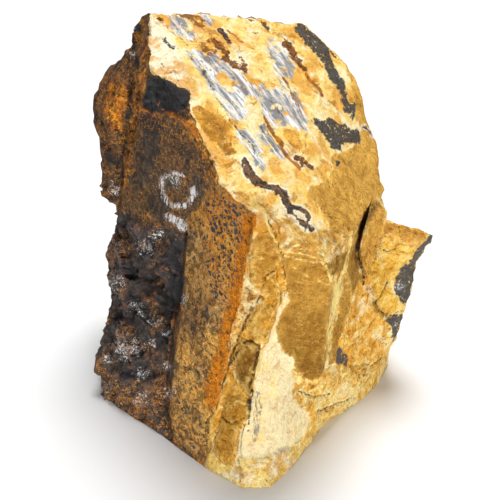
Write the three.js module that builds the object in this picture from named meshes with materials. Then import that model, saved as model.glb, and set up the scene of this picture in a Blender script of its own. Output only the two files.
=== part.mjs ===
// A rough hand specimen of ilvaite in its ochre and cream matrix: one solid piece of rock.
// Units are millimetres, +Z is up, and the rock stands on its flat broken base at Z = 0.
// The corners that show in the reference picture are given as [x, y, height]: the picture's
// pixel and the height of the corner above the table. The sight line through the pixel meets
// that height in one point. Hidden corners are given as plain [x, y, z] in millimetres.

import * as THREE from "three";
import { ImprovedNoise } from "three/addons/math/ImprovedNoise.js";

const rockName = "ilvaite_rock";
const ochre = 0xb98a3c;

// The viewpoint of the reference picture.
const pictureSide = 500;
const viewDown = THREE.MathUtils.degToRad(40);
const viewDistance = 416.7;
const halfWidthAtUnit = 0.15;
const aimHeight = 50;

// Longest edge of the solid's triangles, at the front and at the back. The front reaches back
// to a depth that grows with height and shrinks towards the sides.
const frontEdge = 3.9;
const backEdge = 6.5;
const frontDepth = 18;
const depthByHeight = 0.35;
const depthBySide = 0.3;
const aboveBase = 0.01;
const splitRounds = 12;

// How the flat facets are softened between their arrises.
const relaxRounds = 5;
const relaxShare = 0.6;
const flipRounds = 3;
const flatEnough = 0.6;
const flipMargin = 0.05;

// Lumps: shares of three layers of noise, and the least height of a point off the base.
const layers = 3;
const layerShare = 0.5;
const layerScale = 2.1;
const lumpGain = 1.6;
const lumpShift = 17.3;
const leastRise = 0.4;

// Corners in the picture, in chains that run along one feature of the rock.
const seenChains = {
  // rear rim of the top, left to right, then down the right outline
  rear: [
    [149, 14, 93], [175, 12, 92], [205, 11.5, 90.5], [240, 17, 88.3], [262, 20, 87.2],
    [275, 21.5, 86.5], [302, 22, 84.8], [320, 38, 81.5], [340, 55, 78.5], [357, 80, 73],
    [364, 110, 67.5], [366, 121, 65], [375, 139, 61], [378, 165, 57], [382, 190, 52.5],
    [386, 220, 48.5],
  ],
  // edge between the pale top and the dark face, back to front
  lip: [
    [149, 64, 89], [162, 80, 87.5], [189, 92, 86], [191, 113, 84], [201, 137, 81.5],
    [213, 160, 79], [218, 180, 77], [232, 198, 74.5], [252, 214, 73], [253, 232, 71],
  ],
  // low swells of the pale top
  crown: [
    [200, 62, 87], [235, 110, 82.4], [262, 170, 76.7], [290, 62, 83.3], [300, 120, 78.6],
    [300, 190, 72], [338, 110, 74], [340, 165, 67.5],
  ],
  // front brow of the top, above the ochre front
  brow: [
    [265, 214, 73.5], [290, 233, 68.5], [301, 245, 65.2], [316, 250, 61.5], [328, 250, 59.5],
    [358, 231, 55.2],
  ],
  // rusty ridge at the left, below the corner of the top
  ridge: [[150, 40, 91], [141, 103, 76.5], [136, 140, 66], [129, 175, 55.5], [122, 197, 48.5]],
  // trough beside the rusty ridge
  trough: [
    [143, 32, 89.5], [136, 62, 82.5], [131, 98, 72.5], [125, 130, 64], [124, 160, 56],
    [121, 188, 49],
  ],
  // swelling left of the trough
  bulge: [[117, 82, 75.5], [109, 115, 67.5], [112, 150, 58.5]],
  // left outline, top to bottom
  left: [
    [137, 27, 88], [135, 44, 84], [122, 58, 79], [109, 70, 75], [98, 88, 70],
    [93.5, 116, 64], [99, 137, 60], [101.5, 160, 55], [101.5, 181, 50.5], [103, 195, 47],
    [117, 206, 44.5], [118, 218, 42], [106, 262, 30], [106, 300, 22], [101, 345, 13],
    [95, 372, 7],
  ],
  // facets of the upper dark face
  dark: [[167, 114, 80], [150, 150, 67.5], [182, 165, 71.5], [165, 200, 58]],
  // lumps and hollows of the lower dark face
  rough: [
    [145, 235, 45], [155, 275, 33.2], [125, 290, 29.5], [150, 325, 25], [122, 335, 17.5],
    [120, 378, 9], [148, 385, 9.6],
  ],
  // left edge of the flat rusty slab, and the groove beside it
  step: [
    [189, 229, 56], [187, 262, 47.5], [181, 298, 38.2], [177, 335, 28.6], [173, 375, 18.3],
    [173, 410, 9.3],
  ],
  groove: [[183, 262, 43.5], [177, 298, 34.5], [172, 335, 24.8], [168, 375, 14.2], [168, 408, 5.4]],
  // front edge between the rusty slab and the ochre front
  edge: [[247, 262, 61], [237, 305, 48.2], [228, 354, 33.5], [223, 400, 19.8], [212, 435, 9.6]],
  // inner crease of the flaky front strip
  crease: [
    [271, 237, 68.5], [283, 254, 63.5], [284, 278, 56], [277, 300, 50], [272, 325, 43],
    [260, 350, 37.4], [252, 392, 26], [241, 440, 13],
  ],
  // outline of the smooth ochre panel
  panel: [
    [317, 260, 57.5], [331, 281, 50], [329, 309, 41.5], [326, 345, 30.5], [286, 303, 48],
    [278, 328, 41.5], [282, 345, 36], [287, 353, 33], [294, 362, 29.5], [293, 372, 26],
    [300, 379, 24],
  ],
  // pale patch below the panel: its right border, then its middle
  patch: [[297, 395, 18.5], [304, 418, 10.8], [271, 413, 19.6], [274, 433, 14.4]],
  // bright spine right of the panel
  spine: [
    [350, 250, 50.5], [346, 269, 45.5], [341, 286, 41], [336, 311, 34.5], [331, 330, 30],
    [327, 358, 24.5], [320, 381, 20],
  ],
  // left lip, floor and right lip of the deep cleft
  gape: [[364.5, 212, 56]],
  cleft: [
    [373, 197, 55.2], [367, 212, 49], [360, 235, 46], [356, 251, 44], [357.5, 266, 40.5],
    [362, 277, 37.3],
  ],
  brink: [[371, 208, 54], [363.5, 233, 50.8], [359, 250, 46.6], [360.5, 266, 41.8]],
  // border between the ochre strip and the granular area
  seam: [[353, 301, 34.8], [346, 330, 27], [339, 358, 19.5]],
  // fin right of the cleft
  fin: [[377, 248, 42], [372, 262, 39.5], [367, 279, 36]],
  // horn that stands out at the right
  horn: [
    [384, 234, 45.5], [411, 226.5, 46.5], [431, 236, 42.5], [412, 247, 42], [400, 268, 35.5],
    [394, 296, 27.5], [404.5, 310, 21], [379, 313, 24], [426, 246, 38.5], [417, 262, 33],
    [411, 278, 28], [409.5, 294, 23.5],
  ],
  // lower right flank
  skirt: [
    [346, 367, 14], [372, 364, 9.5], [388, 352, 5.5], [395, 340, 11], [400, 328, 15.5],
    [318, 388, 17.5], [341, 377, 14],
  ],
  // small foot at the front
  foot: [
    [242, 457, 8.4], [262, 452, 9.4], [284, 446, 8], [304, 440, 4], [289, 457, 4.1],
    [266, 467, 5.5], [244, 470, 4.9],
  ],
  // where the rock meets the table, left to right
  toe: [
    [102, 397, 0], [134, 417, 0], [170, 442, 0], [178, 448, 0], [206, 468, 0], [223, 477, 0],
    [243, 488, 0], [270, 487, 0], [292, 469, 0], [304, 452, 0], [325, 422, 0], [355, 405, 0],
    [375, 389, 0], [388, 366, 0],
  ],
};

// Corners of the far side, in millimetres.
const hiddenChains = {
  base: [[-35, 23, 0], [-24, 40, 0], [8, 46, 0], [29, 37, 0], [32, 24, 0]],
  back: [
    [-30, 37, 28], [-10, 47, 33], [17, 46, 40], [31, 36, 33], [-33, 41, 60], [-14, 47, 66],
    [11, 49, 62], [27, 41, 58], [37, 26, 36], [34, 24, 15],
  ],
};

// Facets of each part of the surface, as the corners that they are stretched between.
const facets = {
  top: [
    "rear0 ridge0 lip0 lip1 crown0 rear1",
    "rear1 crown0 rear2",
    "rear2 crown0 crown1 crown3 rear3",
    "lip1 lip2 lip3 lip4 crown1 crown0",
    "lip4 lip5 lip6 lip7 crown2 crown1",
    "lip7 lip8 brow0 brow1 crown2",
    "crown1 crown2 crown5 crown4",
    "crown1 crown4 crown3",
    "rear3 crown3 rear6 rear5 rear4",
    "rear6 crown3 crown4 crown6 rear8 rear7",
    "crown6 rear11 rear10 rear9 rear8",
    "crown4 crown5 crown7 crown6",
    "crown6 crown7 rear13 rear12 rear11",
    "crown7 cleft0 rear14 rear13",
    "crown2 brow1 brow2 brow3 crown5",
    "crown5 brow3 brow4 brow5 gape0 cleft0 crown7",
  ],
  rust: [
    "rear0 trough0 trough1 lip0 ridge0",
    "trough1 trough2 ridge1 lip0",
    "trough2 trough3 ridge2 ridge1",
    "trough3 trough4 ridge3 ridge2",
    "trough4 trough5 ridge4 ridge3",
    "rear0 left0 left1 trough0",
    "trough0 left1 left2 bulge0 trough1",
    "trough1 bulge0 bulge1 trough2",
    "trough2 bulge1 bulge2 trough3",
    "trough3 bulge2 trough4",
    "trough4 bulge2 left7 left8 left9 trough5",
    "trough5 left9 left10 left11 ridge4",
    "left2 left3 left4 bulge0",
    "bulge0 left4 left5 bulge1",
    "bulge1 left5 left6 bulge2",
    "bulge2 left6 left7",
  ],
  dark: [
    "lip0 lip1 lip2 lip3 dark0 ridge1",
    "ridge1 dark0 dark1 ridge2",
    "dark0 lip3 lip4 lip5 dark2 dark1",
    "ridge2 dark1 dark3 ridge4 ridge3",
    "dark1 dark2 dark3",
    "dark2 lip5 lip6 lip7 step0 dark3",
    "ridge4 dark3 rough0 left11",
    "dark3 step0 rough0",
  ],
  rough: [
    "left11 rough0 rough1 rough2 left12",
    "rough0 step0 groove0 groove1 rough1",
    "rough1 groove1 groove2 rough3 rough2",
    "left12 rough2 rough4 left13",
    "rough2 rough3 rough6 rough5 rough4",
    "rough3 groove2 groove3 groove4 rough6",
    "left13 rough4 rough5 left15 left14",
    "rough5 rough6 toe1 toe0 left15",
    "rough6 groove4 toe2 toe1",
  ],
  slab: [
    "step0 step1 step2 step3 step4 step5 toe3 toe4 edge4 edge3 edge2 edge1 edge0 lip9 lip8 lip7",
    "step0 groove0 groove1 groove2 groove3 groove4 toe2 toe3 step5 step4 step3 step2 step1",
  ],
  flaky: [
    "lip8 brow0 crease0 crease1 crease2 edge0 lip9",
    "edge0 crease2 crease3 crease4 crease5 edge2 edge1",
    "edge2 crease5 crease6 crease7 toe5 toe4 edge4 edge3",
    "crease7 foot0 foot6 toe6 toe5",
  ],
  ochre: [
    "brow0 brow1 crease0",
    "brow1 crease1 crease0",
    "brow1 brow2 crease1",
    "brow2 brow3 panel0 crease1",
    "brow3 brow4 brow5 spine0 spine1 panel1 panel0",
    "crease2 crease1 panel0 panel1 panel2 panel5 panel4",
    "panel5 panel2 panel3 spine6 panel10 panel9 panel8 panel7 panel6",
    "panel1 spine1 spine2 spine3 spine4 spine5 spine6 panel3 panel2",
    "spine0 cleft3 cleft4 spine1",
    "spine1 cleft4 cleft5 seam0 spine2",
    "spine2 seam0 spine3",
    "spine3 seam0 seam1 spine4",
    "spine4 seam1 seam2 spine5",
    "spine5 seam2 spine6",
  ],
  cleft: [
    "cleft0 gape0 cleft1",
    "gape0 brow5 cleft2 cleft1",
    "brow5 spine0 cleft3 cleft2",
    "cleft0 cleft1 brink0",
    "brink0 cleft1 cleft2 brink1",
    "brink1 cleft2 cleft3 brink2",
    "brink2 cleft3 cleft4 brink3",
    "brink3 cleft4 cleft5",
  ],
  fin: [
    "cleft0 rear14 rear15 horn0 brink1 brink0",
    "brink1 horn0 fin0 brink2",
    "brink2 fin0 fin1 brink3",
    "brink3 fin1 fin2 cleft5",
  ],
  patch: [
    "crease2 panel4 panel5 panel6 panel7 panel8 crease5 crease4 crease3",
    "crease5 panel8 patch2 crease6",
    "panel8 panel9 patch0 patch2",
    "crease6 patch2 patch3 crease7",
    "patch2 patch0 patch1 patch3",
    "crease7 patch3 foot1 foot0",
    "patch3 foot2 foot1",
    "patch3 patch1 foot3 foot2",
    "foot0 foot1 foot5 foot6",
    "foot1 foot2 foot4 foot5",
    "foot2 foot3 foot4",
    "foot6 foot5 toe7 toe6",
    "foot5 foot4 toe8 toe7",
    "foot4 foot3 toe9 toe8",
  ],
  granular: [
    "cleft5 fin2 horn7 horn6 skirt4 skirt3 skirt2 skirt1 skirt0 seam2 seam1 seam0",
    "panel10 spine6 seam2 skirt0 skirt1 skirt6 skirt5",
    "panel9 panel10 skirt5 patch0",
    "patch0 skirt5 toe10 toe9 foot3 patch1",
    "skirt5 skirt6 toe11 toe10",
    "skirt6 skirt1 skirt2 toe13 toe12 toe11",
  ],
  horn: [
    "rear15 horn1 horn2 horn3 horn0",
    "horn0 horn3 horn4 fin0",
    "fin0 horn4 horn5 horn7 fin2 fin1",
    "horn5 horn6 horn7",
    "horn2 horn8 horn9 horn10 horn11 horn6 horn5 horn4 horn3",
  ],
  far: [
    "rear0 left0 left1 left2 left3 back4",
    "left3 left4 left5 back4",
    "left5 left6 left7 left8 left9 left10 left11 back0 back4",
    "left11 left12 left13 left14 left15 toe0 base0 back0",
    "base0 base1 back0",
    "rear0 back4 back5 rear2 rear1",
    "rear2 back5 back6 rear5 rear4 rear3",
    "rear5 back6 back7 rear8 rear7 rear6",
    "rear8 back7 rear12 rear11 rear10 rear9",
    "back7 back3 rear15 rear14 rear13 rear12",
    "back4 back0 back1 back5",
    "back5 back1 back2 back6",
    "back6 back2 back3 back7",
    "back0 base1 base2 back1",
    "back1 base2 base3 back2",
    "back2 base3 back3",
    "rear15 back3 back8 horn1",
    "horn1 back8 horn2",
    "horn2 horn8 horn9 horn10 horn11 back9 back8",
    "horn11 horn6 skirt4 skirt3 skirt2 toe13 base4 back9",
    "back8 back9 base4 base3 back3",
  ],
  under: [
    "toe0 toe1 toe2 toe3 toe4 toe5 toe6 toe7 toe8 toe9 toe10 toe11 toe12 toe13 " +
      "base4 base3 base2 base1 base0",
  ],
};

// Surface of each part: height and spread of its lumps in millimetres, and how far two of its
// facets must turn, in degrees, to meet in a sharp arris.
const grain = {
  top: { height: 0.3, spread: 9, arris: 70 },
  rust: { height: 1.1, spread: 7, arris: 28 },
  dark: { height: 0.5, spread: 8, arris: 14 },
  rough: { height: 1.4, spread: 8, arris: 35 },
  slab: { height: 0.2, spread: 9, arris: 30 },
  flaky: { height: 0.45, spread: 6, arris: 14 },
  ochre: { height: 0.2, spread: 9, arris: 12 },
  cleft: { height: 0.3, spread: 6, arris: 35 },
  fin: { height: 0.3, spread: 6, arris: 30 },
  patch: { height: 0.35, spread: 7, arris: 40 },
  granular: { height: 0.5, spread: 5, arris: 30 },
  horn: { height: 0.5, spread: 6, arris: 22 },
  far: { height: 1.2, spread: 10, arris: 26 },
  under: { height: 0, spread: 10, arris: 90 },
};
const borderArris = 11;

// The picture's sight line through a pixel, met with the plane at a height.
const sight = new THREE.Vector3(0, Math.cos(viewDown), -Math.sin(viewDown));
const pictureUp = new THREE.Vector3(0, Math.sin(viewDown), Math.cos(viewDown));
const eye = new THREE.Vector3(0, 0, aimHeight).addScaledVector(sight, -viewDistance);

function seenPoint([pixelX, pixelY, height]) {
  const half = pictureSide / 2;
  const across = ((pixelX - half) / half) * halfWidthAtUnit;
  const rise = ((half - pixelY) / half) * halfWidthAtUnit;
  const ray = sight.clone().addScaledVector(pictureUp, rise);
  ray.x += across;
  return eye.clone().addScaledVector(ray, (height - eye.z) / ray.z);
}

// All corners by name, and the facets cut into triangles.
function cage() {
  const points = [];
  const names = [];
  const indexOf = new Map();
  const add = (name, point) => {
    indexOf.set(name, points.length);
    names.push(name);
    points.push(point);
  };
  for (const [chain, corners] of Object.entries(seenChains))
    corners.forEach((corner, i) => add(chain + i, seenPoint(corner)));
  for (const [chain, corners] of Object.entries(hiddenChains))
    corners.forEach((corner, i) => add(chain + i, new THREE.Vector3(...corner)));

  const triangles = [];
  for (const [part, outlines] of Object.entries(facets))
    for (const outline of outlines) {
      const ring = outline.split(" ").map((name) => {
        if (!indexOf.has(name)) throw new Error("no corner named " + name);
        return indexOf.get(name);
      });
      if (part === "far" && ring.length > 4) {
        const middle = new THREE.Vector3();
        for (const i of ring) middle.addScaledVector(points[i], 1 / ring.length);
        add("middle of " + outline, middle);
        ring.forEach((a, i) => {
          const corners = [a, ring[(i + 1) % ring.length], points.length - 1];
          triangles.push({ corners, part });
        });
        continue;
      }
      for (const corners of flatFill(ring.map((i) => points[i])))
        triangles.push({ corners: corners.map((i) => ring[i]), part });
    }
  return { points, triangles, names };
}

// Triangles that fill a ring of corners, as seen square to its mean plane.
function flatFill(ring) {
  const normal = new THREE.Vector3();
  ring.forEach((p, i) => {
    const q = ring[(i + 1) % ring.length];
    normal.x += (p.y - q.y) * (p.z + q.z);
    normal.y += (p.z - q.z) * (p.x + q.x);
    normal.z += (p.x - q.x) * (p.y + q.y);
  });
  const flat = new THREE.Quaternion().setFromUnitVectors(
    normal.normalize(),
    new THREE.Vector3(0, 0, 1),
  );
  const contour = ring.map((p) => {
    const q = p.clone().applyQuaternion(flat);
    return new THREE.Vector2(q.x, q.y);
  });
  return THREE.ShapeUtils.triangulateShape(contour, []);
}

const edgeKey = (a, b) => (a < b ? a + "_" + b : b + "_" + a);

// The triangles on each edge.
function edgeMap(triangles) {
  const edges = new Map();
  triangles.forEach(({ corners }, t) =>
    corners.forEach((a, i) => {
      const key = edgeKey(a, corners[(i + 1) % 3]);
      if (!edges.has(key)) edges.set(key, []);
      edges.get(key).push(t);
    }),
  );
  return edges;
}

// Turns every triangle the same way round, starting from one that faces down on the base.
function orient({ points, triangles, names }) {
  const edges = edgeMap(triangles);
  const open = [...edges].filter(([, sides]) => sides.length !== 2);
  if (open.length) {
    const ends = open.map(([key]) => key.split("_").map((i) => names[i]).join(" to "));
    throw new Error("these edges don't have two facets: " + ends.join("; "));
  }
  const start = triangles.findIndex((t) => t.part === "under");
  if (faceNormal(points, triangles[start]).z > 0) triangles[start].corners.reverse();
  const done = new Set([start]);
  const queue = [start];
  while (queue.length) {
    const here = queue.pop();
    const { corners } = triangles[here];
    corners.forEach((a, i) => {
      const b = corners[(i + 1) % 3];
      for (const next of edges.get(edgeKey(a, b))) {
        if (done.has(next)) continue;
        const other = triangles[next].corners;
        if (other[(other.indexOf(a) + 1) % 3] === b) other.reverse();
        done.add(next);
        queue.push(next);
      }
    });
  }
}

function faceNormal(points, { corners }) {
  const [a, b, c] = corners.map((i) => points[i]);
  return b.clone().sub(a).cross(c.clone().sub(a)).normalize();
}

// Edges of the cage where the rock has a real arris.
function sharpEdges({ points, triangles }) {
  const sharp = new Set();
  for (const [key, [s, t]] of edgeMap(triangles)) {
    const turn = faceNormal(points, triangles[s]).angleTo(faceNormal(points, triangles[t]));
    const [here, beyond] = [triangles[s].part, triangles[t].part];
    const atBase = (here === "under") !== (beyond === "under");
    const limit = here === beyond ? grain[here].arris : borderArris;
    if (turn > THREE.MathUtils.degToRad(limit) || atBase) sharp.add(key);
  }
  return sharp;
}

// Splits each edge that is too long at its middle.
function splitLongEdges(mesh, sharp) {
  const { points } = mesh;
  const middles = new Map();
  const middleOf = (a, b) => {
    const key = edgeKey(a, b);
    if (middles.has(key)) return middles.get(key);
    const middle = points[a].clone().lerp(points[b], 0.5);
    let index = null;
    if (points[a].distanceTo(points[b]) > edgeLimit(middle)) {
      index = points.length;
      points.push(middle);
      if (sharp.delete(key)) sharp.add(edgeKey(a, index)).add(edgeKey(index, b));
    }
    middles.set(key, index);
    return index;
  };
  const made = [];
  for (const { corners, part } of mesh.triangles) {
    const [a, b, c] = corners;
    const [ab, bc, ca] = [middleOf(a, b), middleOf(b, c), middleOf(c, a)];
    for (const piece of pieces(points, [a, b, c], [ab, bc, ca])) made.push({ corners: piece, part });
  }
  mesh.triangles = made;
  return [...middles.values()].some((index) => index !== null);
}

// A triangle cut up along the middles of its split sides.
function pieces(points, [a, b, c], [ab, bc, ca]) {
  const split = [ab, bc, ca].filter((m) => m !== null).length;
  if (split === 0) return [[a, b, c]];
  if (split === 3) return [[a, ab, ca], [ab, b, bc], [ca, bc, c], [ab, bc, ca]];
  if (split === 1) {
    if (bc !== null) return pieces(points, [b, c, a], [bc, ca, ab]);
    if (ca !== null) return pieces(points, [c, a, b], [ca, ab, bc]);
    return [[a, ab, c], [ab, b, c]];
  }
  if (ab === null) return pieces(points, [b, c, a], [bc, ca, ab]);
  if (bc === null) return pieces(points, [c, a, b], [ca, ab, bc]);
  const acrossShorter = points[ab].distanceTo(points[c]) < points[bc].distanceTo(points[a]);
  return acrossShorter
    ? [[ab, b, bc], [a, ab, c], [ab, bc, c]]
    : [[ab, b, bc], [a, ab, bc], [a, bc, c]];
}

// How long an edge may be: shorter at the front.
function edgeLimit({ x, y, z }) {
  const atFront = y < frontDepth + depthByHeight * z - depthBySide * Math.abs(x) && z > aboveBase;
  return atFront ? frontEdge : backEdge;
}

// Turns edges inside facets so that triangles come nearer to equal sides.
function flipEdges(mesh, sharp) {
  const { points, triangles } = mesh;
  const edges = edgeMap(triangles);
  const touched = new Set();
  const cornerAngle = (at, a, b) =>
    points[a].clone().sub(points[at]).angleTo(points[b].clone().sub(points[at]));
  for (const [key, [s, t]] of edges) {
    if (sharp.has(key) || touched.has(s) || touched.has(t)) continue;
    const [a, b] = key.split("_").map(Number);
    const c = triangles[s].corners.find((i) => i !== a && i !== b);
    const d = triangles[t].corners.find((i) => i !== a && i !== b);
    if (edges.has(edgeKey(c, d))) continue;
    if (cornerAngle(c, a, b) + cornerAngle(d, a, b) < Math.PI + flipMargin) continue;
    const before = faceNormal(points, triangles[s]);
    const swapped = [
      triangles[s].corners.map((i) => (i === b ? d : i)),
      triangles[t].corners.map((i) => (i === a ? c : i)),
    ];
    if (swapped.some((corners) => faceNormal(points, { corners }).dot(before) < flatEnough)) continue;
    triangles[s].corners = swapped[0];
    triangles[t].corners = swapped[1];
    touched.add(s).add(t);
  }
}

// A few rounds of turned edges.
function evenOut(mesh, sharp) {
  for (let round = 0; round < flipRounds; round++) flipEdges(mesh, sharp);
}

// Draws each point that isn't on an arris towards the middle of its neighbours.
function relax({ points, triangles }, sharp) {
  const neighbours = points.map(() => new Set());
  for (const { corners: [a, b, c] } of triangles) {
    neighbours[a].add(b).add(c);
    neighbours[b].add(c).add(a);
    neighbours[c].add(a).add(b);
  }
  const held = new Set([...sharp].flatMap((key) => key.split("_").map(Number)));
  for (let round = 0; round < relaxRounds; round++) {
    const moved = points.map((point, i) => {
      if (held.has(i)) return point;
      const mean = new THREE.Vector3();
      for (const n of neighbours[i]) mean.add(points[n]);
      return point.clone().lerp(mean.divideScalar(neighbours[i].size), relaxShare);
    });
    moved.forEach((point, i) => points[i].copy(point));
  }
}

// Layered noise, about -1 to 1.
const noise = new ImprovedNoise();
function layeredNoise({ x, y, z }, spread) {
  let sum = 0;
  let share = 1;
  let scale = 1 / spread;
  for (let layer = 0; layer < layers; layer++) {
    sum += share * noise.noise(x * scale + lumpShift, y * scale - lumpShift, z * scale);
    share *= layerShare;
    scale *= layerScale;
  }
  return sum;
}

// Raises lumps and sinks pits over the surface, by the grain of the part.
function roughen({ points, triangles }) {
  const normals = points.map(() => new THREE.Vector3());
  const heights = points.map(() => []);
  const spreads = points.map(() => []);
  const onBase = new Set();
  for (const triangle of triangles) {
    const normal = faceNormal(points, triangle);
    for (const i of triangle.corners) {
      normals[i].add(normal);
      heights[i].push(grain[triangle.part].height);
      spreads[i].push(grain[triangle.part].spread);
      if (triangle.part === "under") onBase.add(i);
    }
  }
  const mean = (values) => values.reduce((a, b) => a + b) / values.length;
  points.forEach((point, i) => {
    const lift = lumpGain * mean(heights[i]) * layeredNoise(point, mean(spreads[i]));
    point.addScaledVector(normals[i].normalize(), lift);
    point.z = onBase.has(i) ? 0 : Math.max(point.z, leastRise);
  });
}

// The finished rock, its origin under the middle of its bounding box.
function rockGeometry() {
  const mesh = cage();
  orient(mesh);
  const sharp = sharpEdges(mesh);
  for (let round = 0; round < splitRounds && splitLongEdges(mesh, sharp); round++)
    evenOut(mesh, sharp);
  relax(mesh, sharp);
  evenOut(mesh, sharp);
  roughen(mesh);

  const geometry = new THREE.BufferGeometry().setFromPoints(mesh.points);
  geometry.setIndex(mesh.triangles.flatMap(({ corners }) => corners));
  geometry.computeBoundingBox();
  const { min, max } = geometry.boundingBox;
  geometry.translate(-(min.x + max.x) / 2, -(min.y + max.y) / 2, -min.z);
  geometry.computeVertexNormals();
  return geometry;
}

const rock = new THREE.Mesh(
  rockGeometry(),
  new THREE.MeshStandardMaterial({ color: ochre, roughness: 0.85, metalness: 0 }),
);
rock.name = rockName;

const specimen = new THREE.Group();
specimen.add(rock);

export default specimen;
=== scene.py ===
import math

import bpy
import numpy as np
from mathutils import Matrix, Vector
from mathutils.bvhtree import BVHTree


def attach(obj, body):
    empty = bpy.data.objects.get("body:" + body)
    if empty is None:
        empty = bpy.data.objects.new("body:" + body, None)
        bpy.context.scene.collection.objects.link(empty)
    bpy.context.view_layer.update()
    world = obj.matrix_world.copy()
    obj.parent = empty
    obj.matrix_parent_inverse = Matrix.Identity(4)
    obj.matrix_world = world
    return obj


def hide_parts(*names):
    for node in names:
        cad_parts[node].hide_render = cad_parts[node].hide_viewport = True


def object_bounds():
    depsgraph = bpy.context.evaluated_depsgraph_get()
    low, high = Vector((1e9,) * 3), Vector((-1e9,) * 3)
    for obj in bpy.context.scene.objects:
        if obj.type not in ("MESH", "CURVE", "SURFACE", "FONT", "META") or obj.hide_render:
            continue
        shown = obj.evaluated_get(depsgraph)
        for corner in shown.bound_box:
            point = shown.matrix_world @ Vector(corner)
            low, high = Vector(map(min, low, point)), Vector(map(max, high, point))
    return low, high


# Rough ilvaite specimen: one rock, standing on a pale floor.
# Lengths in the arrays are millimetres; the finished mesh is in metres.

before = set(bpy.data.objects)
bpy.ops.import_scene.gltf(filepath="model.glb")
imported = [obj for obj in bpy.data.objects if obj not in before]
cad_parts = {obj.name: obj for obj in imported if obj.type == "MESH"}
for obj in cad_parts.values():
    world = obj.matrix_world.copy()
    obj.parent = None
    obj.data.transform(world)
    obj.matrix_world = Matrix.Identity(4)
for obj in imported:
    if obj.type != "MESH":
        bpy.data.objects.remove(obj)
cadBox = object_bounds()
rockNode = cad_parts["ilvaite_rock"]

# The camera of the photograph. Markings are laid out in its pixels.
photoView = {
    "side": 500,
    "down": math.radians(40),
    "distance": 416.7,
    "halfWidth": 0.15,
    "aim": np.array([-2.889, -8.085, 50.0]),
}
lookDirection = np.array([0, math.cos(photoView["down"]), -math.sin(photoView["down"])])
lookUp = np.array([0, math.sin(photoView["down"]), math.cos(photoView["down"])])
eyePoint = photoView["aim"] - lookDirection * photoView["distance"]


def toPicture(points):
    fromEye = points - eyePoint
    depth = fromEye @ lookDirection
    half = photoView["side"] / 2
    across = half + fromEye[:, 0] / depth / photoView["halfWidth"] * half
    rise = half - (fromEye @ lookUp) / depth / photoView["halfWidth"] * half
    return np.stack([across, rise], axis=1)


# Noise on points, from whole numbers stirred until they look random
stir = {
    "x": 73856093, "y": 19349663, "z": 83492791,
    "seed": 2654435761, "first": 2246822519, "second": 3266489917,
    "word": 0xFFFFFFFF, "kept": 0xFFFFFF,
}


def scramble(cell, seed):
    key = cell.astype(np.int64)
    mixed = key[..., 0] * stir["x"] ^ key[..., 1] * stir["y"] ^ key[..., 2] * stir["z"]
    mixed = (mixed ^ (seed * stir["seed"])) & stir["word"]
    mixed = (mixed ^ (mixed >> 15)) * stir["first"] & stir["word"]
    mixed = (mixed ^ (mixed >> 13)) * stir["second"] & stir["word"]
    return ((mixed ^ (mixed >> 16)) & stir["kept"]) / float(stir["kept"])


def threeScrambles(cell, seed):
    return np.stack([scramble(cell, seed + n) for n in range(3)], axis=1)


def cellsAround(place, steps):
    base = np.floor(place)
    for i in steps:
        for j in steps:
            for k in steps:
                yield base + np.array([i, j, k])


def softNoise(points, spread, seed=1):
    place = points / spread
    base = np.floor(place)
    part = place - base
    ease = part * part * (3 - 2 * part)
    total = np.zeros(len(points))
    for cell in cellsAround(place, (0, 1)):
        share = np.prod(np.where(cell > base, ease, 1 - ease), axis=1)
        total += share * scramble(cell, seed)
    return total * 2 - 1


def layeredNoise(points, spread, layers=3, seed=1, keep=0.5):
    total = np.zeros(len(points))
    share = 1.0
    for layer in range(layers):
        total += share * softNoise(points, spread, seed + layer * 17)
        share *= keep
        spread /= 2.07
    return total


def cellNoise(points, spread, seed=1):
    place = points / spread
    nearest = np.full(len(points), 9.0)
    second = np.full(len(points), 9.0)
    for cell in cellsAround(place, (-1, 0, 1)):
        reach = np.linalg.norm(place - (cell + threeScrambles(cell, seed)), axis=1)
        second = np.minimum(second, np.maximum(reach, nearest))
        nearest = np.minimum(nearest, reach)
    return nearest, second


# Flat chips of stone, each with a tilt and a tone of its own
def facetNoise(points, spread, seed=1):
    place = points / spread
    nearest = np.full(len(points), 9.0)
    tilt = np.zeros(len(points))
    tone = np.zeros(len(points))
    for cell in cellsAround(place, (-1, 0, 1)):
        lean = threeScrambles(cell, seed + 5) * 2 - 1
        away = place - (cell + threeScrambles(cell, seed))
        reach = np.linalg.norm(away, axis=1)
        closer = reach < nearest
        tilt = np.where(closer, np.sum(away * lean, axis=1) + lean[:, 0] * 0.3, tilt)
        tone = np.where(closer, lean[:, 1] * 0.5 + 0.5, tone)
        nearest = np.minimum(nearest, reach)
    return tilt, tone


def smoothStep(low, high, value):
    part = np.clip((value - low) / (high - low), 0, 1)
    return part * part * (3 - 2 * part)


# The rock's mesh, refined from the frame's solid
rockShape = {
    "weldSteps": 2000,
    "frontEdge": 0.70,
    "backEdge": 1.75,
    "baseEdge": 3.0,
    "longBy": 1.45,
    "frontDepth": 12,
    "frontLean": 0.42,
    "frontTaper": 0.3,
    "creaseDegrees": 27,
    "rounds": 6,
    "relax": 0.5,
    "creaseRelax": 0.6,
    "baseRelax": 0.3,
    "baseHeight": 0.02,
    "lowHeight": 0.05,
}
pairBase = 10 ** 7


def weldedSolid(obj):
    mesh = obj.data
    mesh.calc_loop_triangles()
    corners = np.empty(len(mesh.vertices) * 3)
    mesh.vertices.foreach_get("co", corners)
    corners = corners.reshape(-1, 3) * 1000
    triangles = np.empty(len(mesh.loop_triangles) * 3, np.int32)
    mesh.loop_triangles.foreach_get("vertices", triangles)
    keys = np.round(corners * rockShape["weldSteps"]).astype(np.int64)
    _, first, back = np.unique(keys, axis=0, return_index=True, return_inverse=True)
    return corners[first], back.reshape(-1)[triangles].reshape(-1, 3)


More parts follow.
